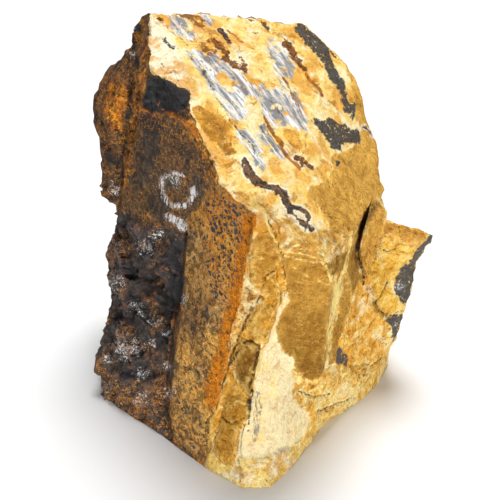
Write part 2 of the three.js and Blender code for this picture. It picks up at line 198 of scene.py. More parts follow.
def faceCrosses(points, faces):
    a, b, c = (points[faces[:, i]] for i in range(3))
    return np.cross(b - a, c - a)


def unitLength(vectors):
    return vectors / np.maximum(np.linalg.norm(vectors, axis=1, keepdims=True), 1e-12)


def pointNormals(points, faces):
    normal = faceCrosses(points, faces)
    total = np.zeros_like(points)
    for i in range(3):
        for axis in range(3):
            total[:, axis] += np.bincount(faces[:, i], normal[:, axis], len(points))
    return unitLength(total)


def pairKeys(a, b):
    return np.minimum(a, b).astype(np.int64) * pairBase + np.maximum(a, b)


def sideKeys(faces):
    return [pairKeys(faces[:, i], faces[:, (i + 1) % 3]) for i in range(3)]


def edgePairs(faces):
    unique = np.unique(np.concatenate(sideKeys(faces)))
    return unique // pairBase, unique % pairBase


def creasePairs(points, faces, degrees):
    normals = unitLength(faceCrosses(points, faces))
    keys = np.concatenate(sideKeys(faces))
    owner = np.tile(np.arange(len(faces)), 3)
    order = np.argsort(keys, kind="stable")
    keys, owner = keys[order], owner[order]
    turn = np.sum(normals[owner[0::2]] * normals[owner[1::2]], axis=1)
    return keys[0::2][turn < math.cos(math.radians(degrees))]


def columns(*corners):
    return np.stack(corners, axis=1)


# Halves every long edge, and fills each triangle again by how many of its edges were halved.
def splitEdges(points, faces, creases, needsSplit):
    unique, back = np.unique(columns(*sideKeys(faces)), return_inverse=True)
    low, high = unique // pairBase, unique % pairBase
    split = needsSplit(points[low], points[high])
    fresh = np.full(len(unique), -1)
    fresh[split] = len(points) + np.arange(split.sum())
    points = np.concatenate([points, (points[low[split]] + points[high[split]]) / 2])
    wasCrease = np.isin(unique, creases)
    halved = wasCrease & split
    creases = np.concatenate([
        unique[wasCrease & ~split],
        pairKeys(low[halved], fresh[halved]), pairKeys(high[halved], fresh[halved]),
    ])
    middles = fresh[back.reshape(-1, 3)]
    count = (middles >= 0).sum(axis=1)
    corner, middle = faces[count == 3], middles[count == 3]
    made = [
        faces[count == 0],
        columns(corner[:, 0], middle[:, 0], middle[:, 2]),
        columns(middle[:, 0], corner[:, 1], middle[:, 1]),
        columns(middle[:, 2], middle[:, 1], corner[:, 2]),
        middle,
    ]
    for turn in range(3):
        turnedFaces = np.roll(faces, -turn, axis=1)
        turnedMiddles = np.roll(middles, -turn, axis=1)
        one = (count == 1) & (turnedMiddles[:, 0] >= 0)
        corner, middle = turnedFaces[one], turnedMiddles[one]
        made += [
            columns(corner[:, 0], middle[:, 0], corner[:, 2]),
            columns(middle[:, 0], corner[:, 1], corner[:, 2]),
        ]
        two = (count == 2) & (turnedMiddles[:, 2] < 0)
        corner, middle = turnedFaces[two], turnedMiddles[two]
        made += [
            columns(middle[:, 0], corner[:, 1], middle[:, 1]),
            columns(corner[:, 0], middle[:, 0], middle[:, 1]),
            columns(corner[:, 0], middle[:, 1], corner[:, 2]),
        ]
    return points, np.concatenate(made), creases, bool(split.any())


# The mean of each point's neighbours, and how many there are
def spreadMean(values, low, high):
    size = len(values)
    count = np.bincount(low, minlength=size) + np.bincount(high, minlength=size)
    flat = values.reshape(size, -1)
    total = np.stack([
        np.bincount(low, flat[high, n], size) + np.bincount(high, flat[low, n], size)
        for n in range(flat.shape[1])
    ], axis=1)
    return (total / np.maximum(count, 1)[:, None]).reshape(values.shape), count


# Evens out the points. Those on a crease move along it only, and the base stays flat.
def relaxed(points, faces, creases, share):
    around, _ = spreadMean(points, *edgePairs(faces))
    along, creaseCount = spreadMean(points, creases // pairBase, creases % pairBase)
    onCrease = creaseCount > 0
    onBase = points[:, 2] < rockShape["baseHeight"]
    target = np.where(onCrease[:, None], along, around)
    creaseShare = np.where(creaseCount == 2, share * rockShape["creaseRelax"], 0.0)
    weight = np.where(onCrease, creaseShare, share)
    weight[onBase] *= rockShape["baseRelax"]
    moved = points + (target - points) * weight[:, None]
    moved[onBase, 2] = 0
    return moved


def atFront(points):
    limit = rockShape["frontDepth"] + rockShape["frontLean"] * points[:, 2]
    return points[:, 1] < limit - rockShape["frontTaper"] * np.abs(points[:, 0])


def isLong(a, b):
    middle = (a + b) / 2
    limit = np.where(atFront(middle), rockShape["frontEdge"], rockShape["backEdge"])
    limit = np.where(middle[:, 2] < rockShape["lowHeight"], rockShape["baseEdge"], limit)
    return np.linalg.norm(a - b, axis=1) > limit * rockShape["longBy"]


points, faces = weldedSolid(rockNode)
creases = creasePairs(points, faces, rockShape["creaseDegrees"])
for turn in range(rockShape["rounds"]):
    points, faces, creases, again = splitEdges(points, faces, creases, isLong)
    for repeat in range(2):
        points = relaxed(points, faces, creases, rockShape["relax"])
    if not again:
        break
smoothPoints = points.copy()
edgeLow, edgeHigh = edgePairs(faces)
smoothNormals = pointNormals(points, faces)
picture = toPicture(points)
print("rock mesh", len(points), "points", len(faces), "triangles")

# How much of each point the photograph sees
sight = {"facing": 0.02, "lift": 0.35, "blurs": 3, "low": 0.15, "high": 0.75}
sightTree = BVHTree.FromPolygons([tuple(p) for p in points], [tuple(f) for f in faces.tolist()])
toEye = eyePoint - points
toEye /= np.linalg.norm(toEye, axis=1, keepdims=True)
facing = np.sum(smoothNormals * toEye, axis=1)
seen = np.zeros(len(points))
for n in np.nonzero(facing > sight["facing"])[0]:
    start = Vector(points[n] + smoothNormals[n] * sight["lift"] + toEye[n] * sight["lift"])
    if sightTree.ray_cast(start, Vector(toEye[n]))[0] is None:
        seen[n] = 1
for repeat in range(sight["blurs"]):
    seen = 0.5 * seen + 0.5 * spreadMean(seen, edgeLow, edgeHigh)[0]
seen = smoothStep(sight["low"], sight["high"], seen)
print("seen share", round(float(seen.mean()), 3))

# Outlines of the markings, in the photograph's pixels
outlines = {
    "dark": [
        (149, 8), (150, 40), (150, 66), (153, 74), (163, 78), (168, 80), (180, 88), (189, 92),
        (190, 103), (192, 112), (196, 120), (197, 128), (202, 138), (210, 152), (214, 162),
        (217, 175), (219, 183), (226, 191), (240, 203), (250, 210), (256, 217), (256, 222),
        (253, 232), (248, 256), (243, 280), (238, 304), (233, 324), (228, 345), (228, 357),
        (227, 368), (224, 380), (222, 392), (219, 404), (213, 416), (210, 430), (207, 450),
        (204, 468), (200, 520), (60, 520), (60, 8),
    ],
    "slab": [
        (186, 220), (187, 240), (187, 268), (184, 300), (180, 328), (176, 360), (171, 390),
        (169, 412), (172, 434), (188, 448), (206, 470), (260, 470), (262, 215), (232, 197),
        (215, 185), (205, 196), (194, 210),
    ],
    "rough": [
        (60, 215), (118, 212), (140, 222), (165, 232), (184, 234), (183, 268), (178, 300),
        (171, 332), (167, 360), (164, 390), (165, 420), (180, 450), (60, 520),
    ],
    "farLeft": [
        (60, 0), (149, 0), (149, 40), (146, 66), (139, 104), (134, 140), (127, 176),
        (120, 200), (112, 216), (60, 216),
    ],
    "orangeRust": [
        (113, 84), (122, 84), (128, 92), (127, 104), (121, 116), (120, 128), (112, 128),
        (108, 116), (104, 112), (104, 102), (108, 92),
    ],
    "ridge": [
        (134, 20), (146, 20), (150, 40), (150, 68), (143, 98), (137, 130), (131, 160),
        (125, 190), (118, 200), (122, 180), (127, 150), (131, 120), (133, 90), (138, 60),
    ],
    "glass": [
        (148, 82), (154, 77), (166, 80), (180, 90), (188, 94), (189, 108), (176, 112),
        (154, 112), (142, 106), (146, 92),
    ],
    "blocks": [(140, 110), (152, 114), (163, 116), (163, 130), (150, 134), (138, 126)],
    "flank": [
        (296, 18), (318, 26), (331, 42), (343, 60), (348, 76), (352, 92), (355, 104),
        (354, 118), (364, 130), (360, 144), (345, 151), (331, 156), (332, 174), (326, 182),
        (310, 186), (309, 193), (317, 203), (326, 217), (333, 236), (356, 236), (366, 214),
        (376, 196), (400, 230), (420, 100), (340, 10),
    ],
    "patchOne": [
        (293, 29), (298, 36), (311, 49), (320, 60), (327, 74), (335, 84), (340, 92),
        (341, 103), (342, 110), (349, 114), (352, 121), (355, 112), (354, 102), (349, 106),
        (346, 93), (343, 81), (336, 69), (331, 59), (328, 47), (324, 40), (313, 33), (302, 23),
    ],
    "patchTwo": [
        (310, 117), (325, 121), (331, 117), (343, 125), (350, 130), (356, 129), (361, 135),
        (359, 146), (350, 143), (343, 143), (341, 151), (332, 149), (325, 140), (318, 130),
    ],
    "patchThree": [(335, 162), (341, 161), (341, 165), (337, 168)],
    "dipOne": [
        (192, 108), (200, 104), (214, 113), (228, 121), (234, 128), (232, 137), (222, 141),
        (212, 140), (204, 132), (197, 121),
    ],
    "dipTwo": [(218, 140), (232, 141), (237, 152), (226, 157)],
    "dipThree": [(285, 127), (296, 130), (304, 144), (302, 150), (292, 146), (284, 136)],
    "dipFour": [(176, 60), (190, 66), (200, 82), (196, 88), (184, 80)],
    "dipFive": [(244, 64), (254, 76), (258, 86), (250, 84), (242, 74)],
    "whiteOne": [(168, 14), (177, 13), (187, 24), (197, 36), (190, 41), (182, 38), (172, 28)],
    "whiteTwo": [
        (186, 50), (200, 48), (216, 53), (228, 63), (241, 74), (255, 86), (263, 99),
        (272, 106), (282, 120), (274, 130), (266, 122), (259, 113), (264, 106), (255, 95),
        (244, 95), (243, 108), (248, 112), (242, 120), (231, 119), (221, 106), (212, 90),
        (200, 71), (190, 60),
    ],
    "whiteThree": [
        (266, 36), (276, 39), (285, 42), (289, 56), (295, 67), (292, 78), (298, 91),
        (304, 104), (307, 118), (308, 132), (299, 130), (292, 124), (283, 126), (276, 117),
        (266, 110), (262, 98), (258, 88), (263, 84), (272, 88), (280, 92), (282, 86),
        (276, 74), (271, 62), (268, 50),
    ],
    "whiteFour": [(256, 126), (266, 123), (276, 140), (285, 156), (277, 159), (267, 150), (258, 138)],
    "whiteFive": [(234, 125), (246, 128), (256, 140), (263, 152), (259, 161), (248, 150), (239, 138)],
    "whiteSix": [(251, 150), (262, 157), (268, 167), (262, 173), (255, 166)],
    "whiteSeven": [(199, 11), (209, 14), (216, 25), (210, 28), (203, 20)],
    "islandOne": [(217, 73), (226, 72), (234, 82), (233, 92), (224, 90), (216, 82)],
    "rustOne": [(177, 12), (192, 11), (200, 14), (206, 24), (203, 30), (192, 25), (183, 20)],
    "rustTwo": [(198, 44), (210, 40), (220, 50), (214, 57), (203, 54)],
    "brow": [
        (264, 211), (280, 205), (300, 216), (320, 232), (354, 230), (350, 244), (334, 262),
        (318, 258), (300, 250), (284, 252), (272, 236),
    ],
    "panel": [
        (283, 255), (302, 251), (316, 257), (324, 269), (331, 281), (332, 292), (330, 316),
        (327, 340), (326, 366), (321, 377), (312, 381), (303, 379), (296, 369), (294, 358),
        (287, 354), (279, 341), (278, 324), (284, 312), (291, 302), (285, 284), (283, 266),
    ],
    # Painted highlight on the bright spine beside the panel
    "spineHighlight": [
        (324, 287), (333, 291), (341, 272), (343, 284), (338, 300), (333, 318), (329, 346),
        (327, 356), (326, 340), (330, 316), (329, 301),
    ],
    "creamEdge": [
        (253, 231), (258, 240), (256, 247), (251, 257), (251, 282), (258, 290), (262, 296),
        (257, 306), (250, 315), (244, 328), (236, 345), (230, 358), (226, 356), (228, 340),
        (233, 322), (238, 303), (243, 280), (248, 256),
    ],
    "patch": [
        (281, 286), (284, 288), (289, 294), (291, 302), (284, 312), (278, 325), (280, 341),
        (288, 354), (294, 360), (293, 372), (296, 394), (309, 412), (307, 436), (297, 445),
        (272, 455), (248, 459), (237, 457), (236, 441), (242, 428), (249, 425), (250, 400),
        (254, 380), (258, 364), (262, 356), (266, 345), (271, 336), (277, 312), (280, 298),
    ],
    "flakeDark": [
        (244, 340), (256, 339), (262, 347), (258, 360), (254, 378), (250, 396), (244, 394),
        (236, 372), (234, 356),
    ],
    "flakeTop": [
        (257, 236), (268, 232), (278, 250), (281, 262), (276, 272), (262, 286), (252, 284),
        (251, 262),
    ],
    "granular": [
        (360, 279), (371, 283), (375, 304), (391, 329), (394, 341), (383, 357), (368, 367),
        (354, 371), (334, 363), (336, 346), (344, 320), (351, 299),
    ],
    "hornFace": [
        (374, 248), (386, 238), (398, 243), (413, 248), (420, 254), (404, 266), (393, 292),
        (402, 311), (386, 318), (376, 300), (370, 276),
    ],
    "coatOne": [
        (432, 232), (436, 240), (428, 256), (420, 274), (414, 290), (410, 306), (403, 304),
        (397, 296), (393, 286), (396, 276), (401, 266), (410, 263), (414, 254), (418, 246),
        (424, 241), (427, 236),
    ],
    "coatTwo": [(384, 319), (406, 313), (406, 321), (399, 329), (393, 344), (390, 327)],
    "inkSpot": [(335, 350), (341, 348), (349, 358), (346, 366), (336, 362)],
    "greySpot": [(279, 449), (288, 446), (291, 452), (283, 455)],
    "strip": [
        (264, 212), (284, 254), (288, 296), (276, 320), (262, 352), (252, 396), (240, 442),
        (238, 470), (236, 492), (200, 470), (214, 416), (228, 350), (246, 262), (253, 214),
    ],
    "flakeMiddle": [
        (262, 279), (268, 275), (277, 281), (280, 292), (279, 306), (276, 318), (272, 330),
        (267, 343), (260, 342), (250, 338), (247, 333), (252, 320), (258, 309), (262, 300),
        (259, 290),
    ],
    "flakeLow": [
        (232, 396), (243, 396), (252, 400), (249, 414), (243, 426), (238, 438), (237, 458),
        (233, 466), (222, 462), (214, 450), (218, 432), (222, 414), (226, 402),
    ],
    "rightStrip": [
        (354, 232), (357, 246), (359, 268), (361, 280), (352, 300), (345, 322), (338, 346),
        (336, 362), (328, 366), (330, 346), (336, 318), (343, 284), (351, 250),
    ],
    "facetC": [
        (317, 257), (328, 263), (351, 249), (347, 262), (340, 272), (331, 281), (323, 268),
    ],
    "hornTop": [
        (384, 222), (398, 223), (411, 226), (424, 230), (434, 236), (426, 246), (413, 248),
        (398, 243), (384, 236),
    ],
    "slabDark": [
        (184, 300), (196, 292), (208, 296), (212, 312), (204, 330), (196, 342), (186, 344),
        (178, 330),
    ],
    "slabCells": [
        (204, 196), (226, 196), (246, 214), (246, 250), (240, 276), (226, 300), (212, 300),
        (206, 270), (206, 232),
    ],
    "inkBody": [
        (240, 160), (246, 157), (251, 163), (255, 172), (262, 179), (270, 184), (278, 186),
        (286, 192), (291, 200), (296, 205), (302, 206), (309, 211), (312, 217), (308, 221),
        (307, 216), (301, 211), (295, 209), (293, 213), (298, 218), (305, 222), (310, 226),
        (314, 231), (311, 234), (305, 229), (297, 223), (290, 215), (285, 205), (281, 197),
        (274, 192), (264, 189), (254, 185), (247, 179), (242, 171),
    ],
    "cornerPale": [(150, 18), (166, 22), (172, 40), (180, 58), (190, 80), (176, 84), (150, 66)],
    "fin": [
        (373, 199), (383, 210), (386, 222), (383, 236), (376, 252), (369, 279), (362, 272),
        (360, 256), (364, 236),
    ],
}

# Each line: its points, and its half width in pixels at the start and at the end.
lines = {
    "rustVein": [
        ([(263, 116), (270, 128), (280, 142), (284, 152), (292, 160), (300, 169)], 1.6, 2.2),
        ([(284, 78), (290, 86), (296, 100), (302, 112)], 1.2, 0.8),
        ([(306, 74), (314, 84), (320, 90), (323, 97)], 2.2, 1.4),
        ([(228, 30), (236, 36), (244, 42)], 1.0, 1.0),
    ],
    "brownVein": [
        ([(286, 43), (291, 49), (298, 60), (305, 72)], 4.2, 2.4),
        ([(214, 41), (221, 47), (228, 54)], 2.8, 2.2),
        ([(224, 58), (233, 64), (246, 71)], 2.8, 1.6),
        ([(240, 57), (244, 64), (246, 71)], 2.0, 2.6),
        ([(296, 157), (304, 160), (312, 168)], 2.6, 1.6),
        ([(303, 157), (303, 166)], 2.2, 2.2),
        ([(158, 18), (163, 20)], 1.4, 1.2),
        ([(247, 17), (254, 20)], 1.6, 1.4),
        ([(263, 24), (269, 29)], 2.2, 1.8),
        ([(250, 30), (256, 33)], 1.2, 1.0),
    ],
    "inkVein": [
        ([(221, 32), (229, 41)], 3.0, 2.2),
        ([(364, 126), (369, 129), (372, 137)], 1.0, 0.8),
        ([(252, 392), (249, 412), (248, 430)], 1.2, 0.6),
        ([(163, 38), (168, 44), (174, 48)], 1.6, 1.0),
        ([(422, 246), (426, 244), (431, 237)], 2.0, 1.5),
        ([(364, 278), (362, 285)], 1.5, 1.0),
    ],
    "fineLine": [
        ([(161, 62), (174, 75), (189, 92)], 0.7, 0.5),
        ([(203, 70), (211, 84), (217, 98), (224, 108), (230, 121)], 0.9, 0.6),
        ([(234, 124), (244, 136), (252, 144), (259, 157)], 1.0, 0.6),
        ([(260, 127), (268, 139), (277, 154)], 1.0, 0.6),
        ([(168, 27), (178, 37), (188, 46)], 0.7, 0.5),
        ([(284, 78), (290, 88), (296, 101)], 0.8, 0.5),
        ([(292, 96), (300, 116), (306, 131)], 0.7, 0.4),
        ([(262, 104), (270, 116), (277, 126)], 0.6, 0.4),
        ([(271, 100), (279, 112), (284, 120)], 0.5, 0.4),
        ([(214, 60), (228, 72), (243, 88)], 0.6, 0.4),
        ([(189, 56), (199, 66), (204, 72)], 0.6, 0.4),
    ],
    "whiteRing": [
        ([(184, 175), (172, 174), (163, 178)], 2.0, 1.6),
        ([(163, 178), (161, 188), (164, 199)], 1.4, 2.0),
        ([(164, 199), (176, 206), (186, 205), (194, 196), (193, 188)], 2.8, 2.0),
        ([(169, 217), (177, 221), (183, 228)], 4.0, 3.4),
    ],
    "orangeLine": [
        ([(168, 114), (184, 120), (193, 128), (197, 134)], 2.2, 3.0),
        ([(140, 108), (150, 113), (168, 115)], 1.0, 1.2),
        ([(184, 262), (177, 300), (171, 334), (167, 362), (163, 392)], 1.2, 1.0),
    ],
    "rustBand": [
        ([(252, 224), (247, 250), (242, 278), (237, 302), (231, 326)], 6.5, 7.0),
        ([(231, 326), (226, 346), (220, 362), (213, 384), (211, 402)], 7.0, 4.0),
    ],
    # Worn edge lines: painted highlight along the arrises, partly wear
    "wornEdgeHighlight": [
        ([(264, 212), (271, 234), (283, 252)], 1.0, 0.8),
        ([(283, 252), (301, 254), (317, 257)], 0.3, 0.5),
        ([(353, 231), (350, 250), (344, 266), (340, 282)], 0.5, 0.8),
        ([(338, 300), (333, 320), (329, 345)], 0.5, 0.3),
        ([(332, 276), (334, 292), (331, 316), (328, 344), (328, 366)], 0.7, 0.2),
        ([(338, 284), (336, 300), (332, 318)], 1.6, 0.6),
        ([(317, 258), (326, 266), (331, 281)], 0.4, 0.6),
        ([(284, 256), (300, 259), (316, 262)], 0.4, 0.3),
        ([(290, 264), (308, 276), (328, 284)], 0.3, 0.2),
        ([(266, 278), (276, 281), (279, 292), (276, 312)], 0.6, 0.4),
        ([(262, 352), (257, 366), (254, 392)], 0.6, 0.5),
        ([(236, 400), (247, 404), (247, 416)], 0.5, 0.4),
    ],
    "wash": [
        ([(296, 232), (314, 240), (326, 247)], 8.0, 5.0),
        ([(310, 214), (318, 224), (326, 240)], 3.0, 4.0),
        ([(318, 386), (334, 376), (352, 374), (368, 368)], 6.0, 6.0),
    ],
    "crack": [
        ([(262, 296), (253, 310), (245, 322), (238, 340), (231, 355), (226, 372)], 1.1, 1.3),
        ([(260, 344), (258, 356), (254, 372), (250, 392)], 1.2, 1.0),
        ([(262, 286), (266, 276), (272, 272), (277, 268)], 0.8, 0.9),
        ([(284, 254), (283, 264), (286, 282), (289, 296)], 0.5, 0.3),
        ([(245, 342), (252, 339), (259, 345)], 1.0, 1.1),
        ([(324, 212), (338, 222), (353, 231)], 0.1, 0.4),
        ([(373, 202), (366, 212), (360, 228), (357, 246)], 0.9, 1.0),
        ([(357, 246), (359, 262), (364, 277)], 0.8, 0.6),
        ([(226, 372), (222, 392), (216, 408)], 1.0, 0.6),
        ([(238, 460), (241, 470), (240, 482)], 0.3, 0.6),
        ([(352, 372), (370, 367), (384, 357)], 0.2, 0.3),
        ([(376, 302), (380, 312), (392, 316), (402, 311)], 0.7, 0.6),
        ([(240, 344), (236, 356), (229, 366)], 0.8, 0.9),
        ([(268, 218), (276, 236), (281, 254)], 0.8, 0.8),
        ([(246, 288), (252, 300), (249, 312)], 0.8, 0.6),
        ([(222, 418), (232, 424), (244, 418)], 0.6, 0.7),
        ([(376, 246), (386, 252), (398, 250), (408, 256)], 0.7, 0.6),
        ([(372, 262), (384, 270), (394, 268)], 0.2, 0.3),
        ([(388, 282), (384, 292), (378, 302)], 0.7, 0.8),
        ([(300, 392), (316, 398), (330, 394)], 0.7, 0.6),
        ([(318, 412), (338, 404), (356, 398)], 0.7, 0.5),
        ([(184, 234), (183, 268), (178, 300), (171, 334)], 1.6, 1.4),
        ([(146, 240), (156, 262), (150, 284), (170, 300)], 1.4, 1.0),
        ([(112, 292), (122, 300), (140, 318), (168, 342)], 1.4, 1.2),
    ],
    "veinLine": [
        ([(141, 107), (150, 112), (158, 115), (170, 116)], 0.5, 0.4),
        ([(170, 116), (184, 121), (192, 128), (197, 136)], 0.7, 1.4),
        ([(152, 112), (156, 120), (150, 132)], 0.4, 0.3),
        ([(158, 115), (164, 126), (178, 134), (190, 138)], 0.3, 0.3),
        ([(163, 96), (158, 104), (166, 112)], 0.2, 0.3),
        ([(178, 134), (186, 146), (196, 152), (206, 160)], 0.3, 0.5),
        ([(140, 132), (152, 140), (166, 142)], 0.2, 0.3),
        ([(150, 158), (160, 166), (172, 164), (186, 158)], 0.2, 0.2),
        ([(126, 190), (134, 198), (146, 212), (156, 226)], 0.2, 0.4),
        ([(112, 244), (124, 252), (138, 250), (150, 244)], 0.3, 0.3),
        ([(112, 300), (124, 296), (138, 300)], 0.2, 0.3),
        ([(150, 356), (158, 368), (164, 384)], 0.4, 0.3),
        ([(128, 392), (142, 402), (156, 404)], 0.3, 0.3),
    ],
    "fissureShade": [
        ([(377, 204), (369, 213), (362, 229), (358, 246), (361, 262), (365, 277)], 2.2, 1.8),
        ([(258, 350), (256, 370), (251, 394), (247, 420)], 1.0, 0.8),
        ([(375, 304), (381, 315), (392, 319)], 1.6, 1.2),
    ],
    "slit": [([(257, 396), (258, 414), (255, 440)], 4.2, 3.0)],
}

# Spots of painted glints, partly pale crystals: middle and radius in pixels.
glintSpots = [
    (114, 189, 12), (118, 282, 13), (135, 307, 13), (126, 348, 20), (142, 398, 13),
    (169, 394, 11), (145, 247, 14), (174, 182, 9), (180, 224, 9), (182, 300, 8),
    (166, 332, 8), (132, 54, 7), (140, 374, 12), (157, 236, 8), (152, 320, 12),
    (168, 366, 9), (108, 360, 9), (150, 344, 9), (400, 286, 8), (404, 262, 6), (396, 324, 6),
]

# How far each place is inside an outline, in pixels; outside it the reach is negative.
def signedReach(outline, at):
    corners = np.array(outline, float)
    reach = np.full(len(at), np.inf)
    inside = np.zeros(len(at), bool)
    for a, b in zip(corners, np.roll(corners, -1, axis=0)):
        side = b - a
        part = np.clip(((at - a) @ side) / max(side @ side, 1e-9), 0, 1)
        reach = np.minimum(reach, np.linalg.norm(at - a - part[:, None] * side, axis=1))
        crosses = (a[1] > at[:, 1]) != (b[1] > at[:, 1])
        rise = np.where(b[1] == a[1], 1e-9, b[1] - a[1])
        inside ^= crosses & (at[:, 0] < a[0] + (at[:, 1] - a[1]) / rise * side[0])
    return np.where(inside, reach, -reach)


def lineReach(strokes, at):
    best = np.full(len(at), -np.inf)
    for path, startWidth, endWidth in strokes:
        corners = np.array(path, float)
        sides = corners[1:] - corners[:-1]
        lengths = np.linalg.norm(sides, axis=1)
        gone = np.concatenate([[0], np.cumsum(lengths)]) / lengths.sum()
        for n, side in enumerate(sides):
            part = np.clip(((at - corners[n]) @ side) / (side @ side), 0, 1)
            along = gone[n] + part * (gone[n + 1] - gone[n])
            width = startWidth + (endWidth - startWidth) * along
            away = np.linalg.norm(at - corners[n] - part[:, None] * side, axis=1)
            best = np.maximum(best, width - away)
    return best


# Natural edges: the picture place wanders a little before it is compared with an outline.
edgeWander = {"pixels": 1.9, "spread": 2.6, "seeds": (5, 91), "line": 0.8, "thinLine": 0.35}
wander = edgeWander["pixels"] * np.stack([
    layeredNoise(points, edgeWander["spread"], 3, seed=seed) for seed in edgeWander["seeds"]
], axis=1)
place = picture + wander
field = {name: signedReach(outline, place) for name, outline in outlines.items()}
for name, strokes in lines.items():
    wanders = edgeWander["thinLine" if name in ("crack", "wornEdgeHighlight") else "line"]
    field[name] = lineReach(strokes, picture + wander * wanders)
print("markings laid out", len(field))


def zone(name, soft=1.5):
    return smoothStep(-soft, soft, field[name]) * seen


def either(*masks):
    return np.maximum.reduce(masks)


def clipped(values):
    return np.clip(values, 0, 1)


# Rows and columns of the picture, in pixels, where one surface fades into the next
fades = {
    "top": (262, 235), "panel": (255, 375), "rightFoot": (362, 384), "foot": (446, 456),
    "lowRough": (350, 400), "lipSide": (105, 135), "slabTop": (240, 215), "nearLip": (100, 130),
}
topSlant = {"column": 250, "slope": 0.15}
footSlant = {"column": 340, "slope": 0.1}
fibreEnd = 240


def slanted(slant):
    return slant["slope"] * (picture[:, 0] - slant["column"])


def rowFade(name, shift=0):
    return smoothStep(*fades[name], picture[:, 1] + shift)


# The far sides follow on from what the photograph shows: dark crust at the left, ochre behind.
farSide = {
    "darkFrom": -17, "wideSwing": 13, "swing": 7, "turnBack": 0.22, "rough": 0.8,
    "granular": 0.5, "behind": (10, 25), "blackBelow": (84, 74), "blackPixels": 9,
}
wide = layeredNoise(points, 16, 3, seed=33)
swing = farSide["wideSwing"] * wide + farSide["swing"] * layeredNoise(points, 6, 3, seed=35)
darkReach = farSide["darkFrom"] - points[:, 0] + swing + farSide["turnBack"] * np.maximum(points[:, 1], 0)
farDark = smoothStep(0.35, 0.6, wide) * smoothStep(*farSide["behind"], points[:, 1])
hiddenDark = np.maximum(smoothStep(-2, 2, darkReach), farDark)
unseen = 1 - seen
unseenPale = unseen * (1 - hiddenDark)

# Where each sort of surface lies, from 0 to 1
dark = zone("dark") + unseen * hiddenDark
slab = zone("slab", 2.0) * dark
rough = clipped(zone("rough", 4) * dark + unseen * hiddenDark * farSide["rough"])
farLeft = zone("farLeft", 3) * dark
glass = zone("glass", 1.2)
upperDark = dark * (1 - rough) * (1 - farLeft) * (1 - slab) * (1 - glass)
granular = zone("granular", 3) + unseenPale * farSide["granular"]
hornFace = zone("hornFace", 2)
panel = zone("panel", 1.5)
patchShift = 3.0 * layeredNoise(points, 4.5, 3, seed=117)
patch = smoothStep(-1.2, 1.2, field["patch"] + patchShift) * seen
flank = zone("flank", 2.5)
fin = zone("fin", 2)
topFade = rowFade("top", slanted(topSlant))
top = seen * (1 - dark) * topFade * smoothStep(-3, 3, -field["brow"])
lower = seen * (1 - dark) * (1 - top)
plain = clipped(lower * (1 - panel) * (1 - granular) * (1 - hornFace) * (1 - patch))

# Relief, pushed in and out from the solid: how strongly each surface or marking shows
relief = {
    "rough": 1.35, "far": 0.8, "dark": 0.30, "slab": 0.10, "top": 0.22, "panel": 0.10,
    "granular": 0.30, "horn": 0.45, "lower": 0.28, "flank": 0.22, "chunkGap": 0.5,
    "hiddenPale": 0.55, "hiddenDark": 0.5, "blackPatch": 0.16, "veins": 0.22, "cracks": 0.5,
    "patch": 0.30, "slit": 0.35, "dips": 0.45, "flakes": 0.4, "creamEdge": 0.35,
    "wornEdgeHighlight": 0.15, "coats": 0.25, "ring": 0.25, "orangeLine": 0.35,
    "deepest": -2.2, "highest": 1.6,
}
# Sizes of the lumps, ledges and chips
lumps = {
    "coarse": 6.5, "middle": 2.6, "fine": 1.3, "grit": 1.6, "chunk": 6.0, "ledge": 0.42,
    "hornLedge": 0.5, "bend": 1.2, "boulder": 11.5, "broken": 5.5, "chips": 2.4, "slit": 1.5,
}
boxGap = 0.02


def terraces(value, step):
    level = value / step
    whole = np.floor(level)
    return step * (whole + smoothStep(0.55, 0.95, level - whole))


coarse = layeredNoise(points, lumps["coarse"], 4, seed=7)
middle = layeredNoise(points, lumps["middle"], 3, seed=13)
fine = layeredNoise(points, lumps["fine"], 2, seed=19)
grit, _ = cellNoise(points, lumps["grit"], seed=3)
chunk, chunkEdge = cellNoise(points * np.array([1, 1, 0.7]), lumps["chunk"], seed=8)
ledges = terraces(coarse + 0.35 * middle, lumps["ledge"])
hornLedges = terraces(coarse + 0.4 * middle, lumps["hornLedge"])
bent = points + lumps["bend"] * np.stack([middle, fine, -middle], axis=1)
boulder, boulderTone = facetNoise(bent, lumps["boulder"], seed=83)
broken, brokenTone = facetNoise(bent, lumps["broken"], seed=61)
chips, chipTone = facetNoise(bent, lumps["chips"], seed=71)
slitNoise = softNoise(points * np.array([3, 3, 0.4]), lumps["slit"], 4)

height = np.zeros(len(points))
height += rough * relief["rough"] * (0.35 * ledges + 1.5 * boulder + 0.5 * broken + 0.22 * chips)
height -= rough * relief["chunkGap"] * smoothStep(0.16, 0.0, chunkEdge - chunk)
height += glass * (0.9 * broken + 0.6 * chips)
height += farLeft * relief["far"] * (0.4 * ledges + 0.3 * middle + 0.4 * broken + 0.3 * chips)
height += upperDark * relief["dark"] * (ledges * 0.6 + 0.25 * fine + 0.5 * chips)
height += slab * relief["slab"] * (0.7 * middle + 0.5 * fine)
height += top * relief["top"] * (0.5 * coarse + 0.5 * middle + 0.3 * fine)
height += panel * relief["panel"] * (0.8 * coarse + 0.5 * middle + 1.4 * broken + 0.5 * chips)
height += flank * relief["flank"] * (1.2 * broken + 0.7 * chips)
height += granular * relief["granular"] * (smoothStep(0.0, 0.6, grit) - 0.5 + 0.5 * middle)
height += hornFace * relief["horn"] * (hornLedges + 0.2 * fine)
height += plain * relief["lower"] * (0.7 * ledges + 0.3 * middle + 0.9 * broken + 0.35 * chips)
height += unseenPale * relief["hiddenPale"] * (0.6 * ledges + 0.4 * middle + 0.2 * fine)
height += unseen * hiddenDark * relief["hiddenDark"] * (0.4 * middle + 0.4 * fine)

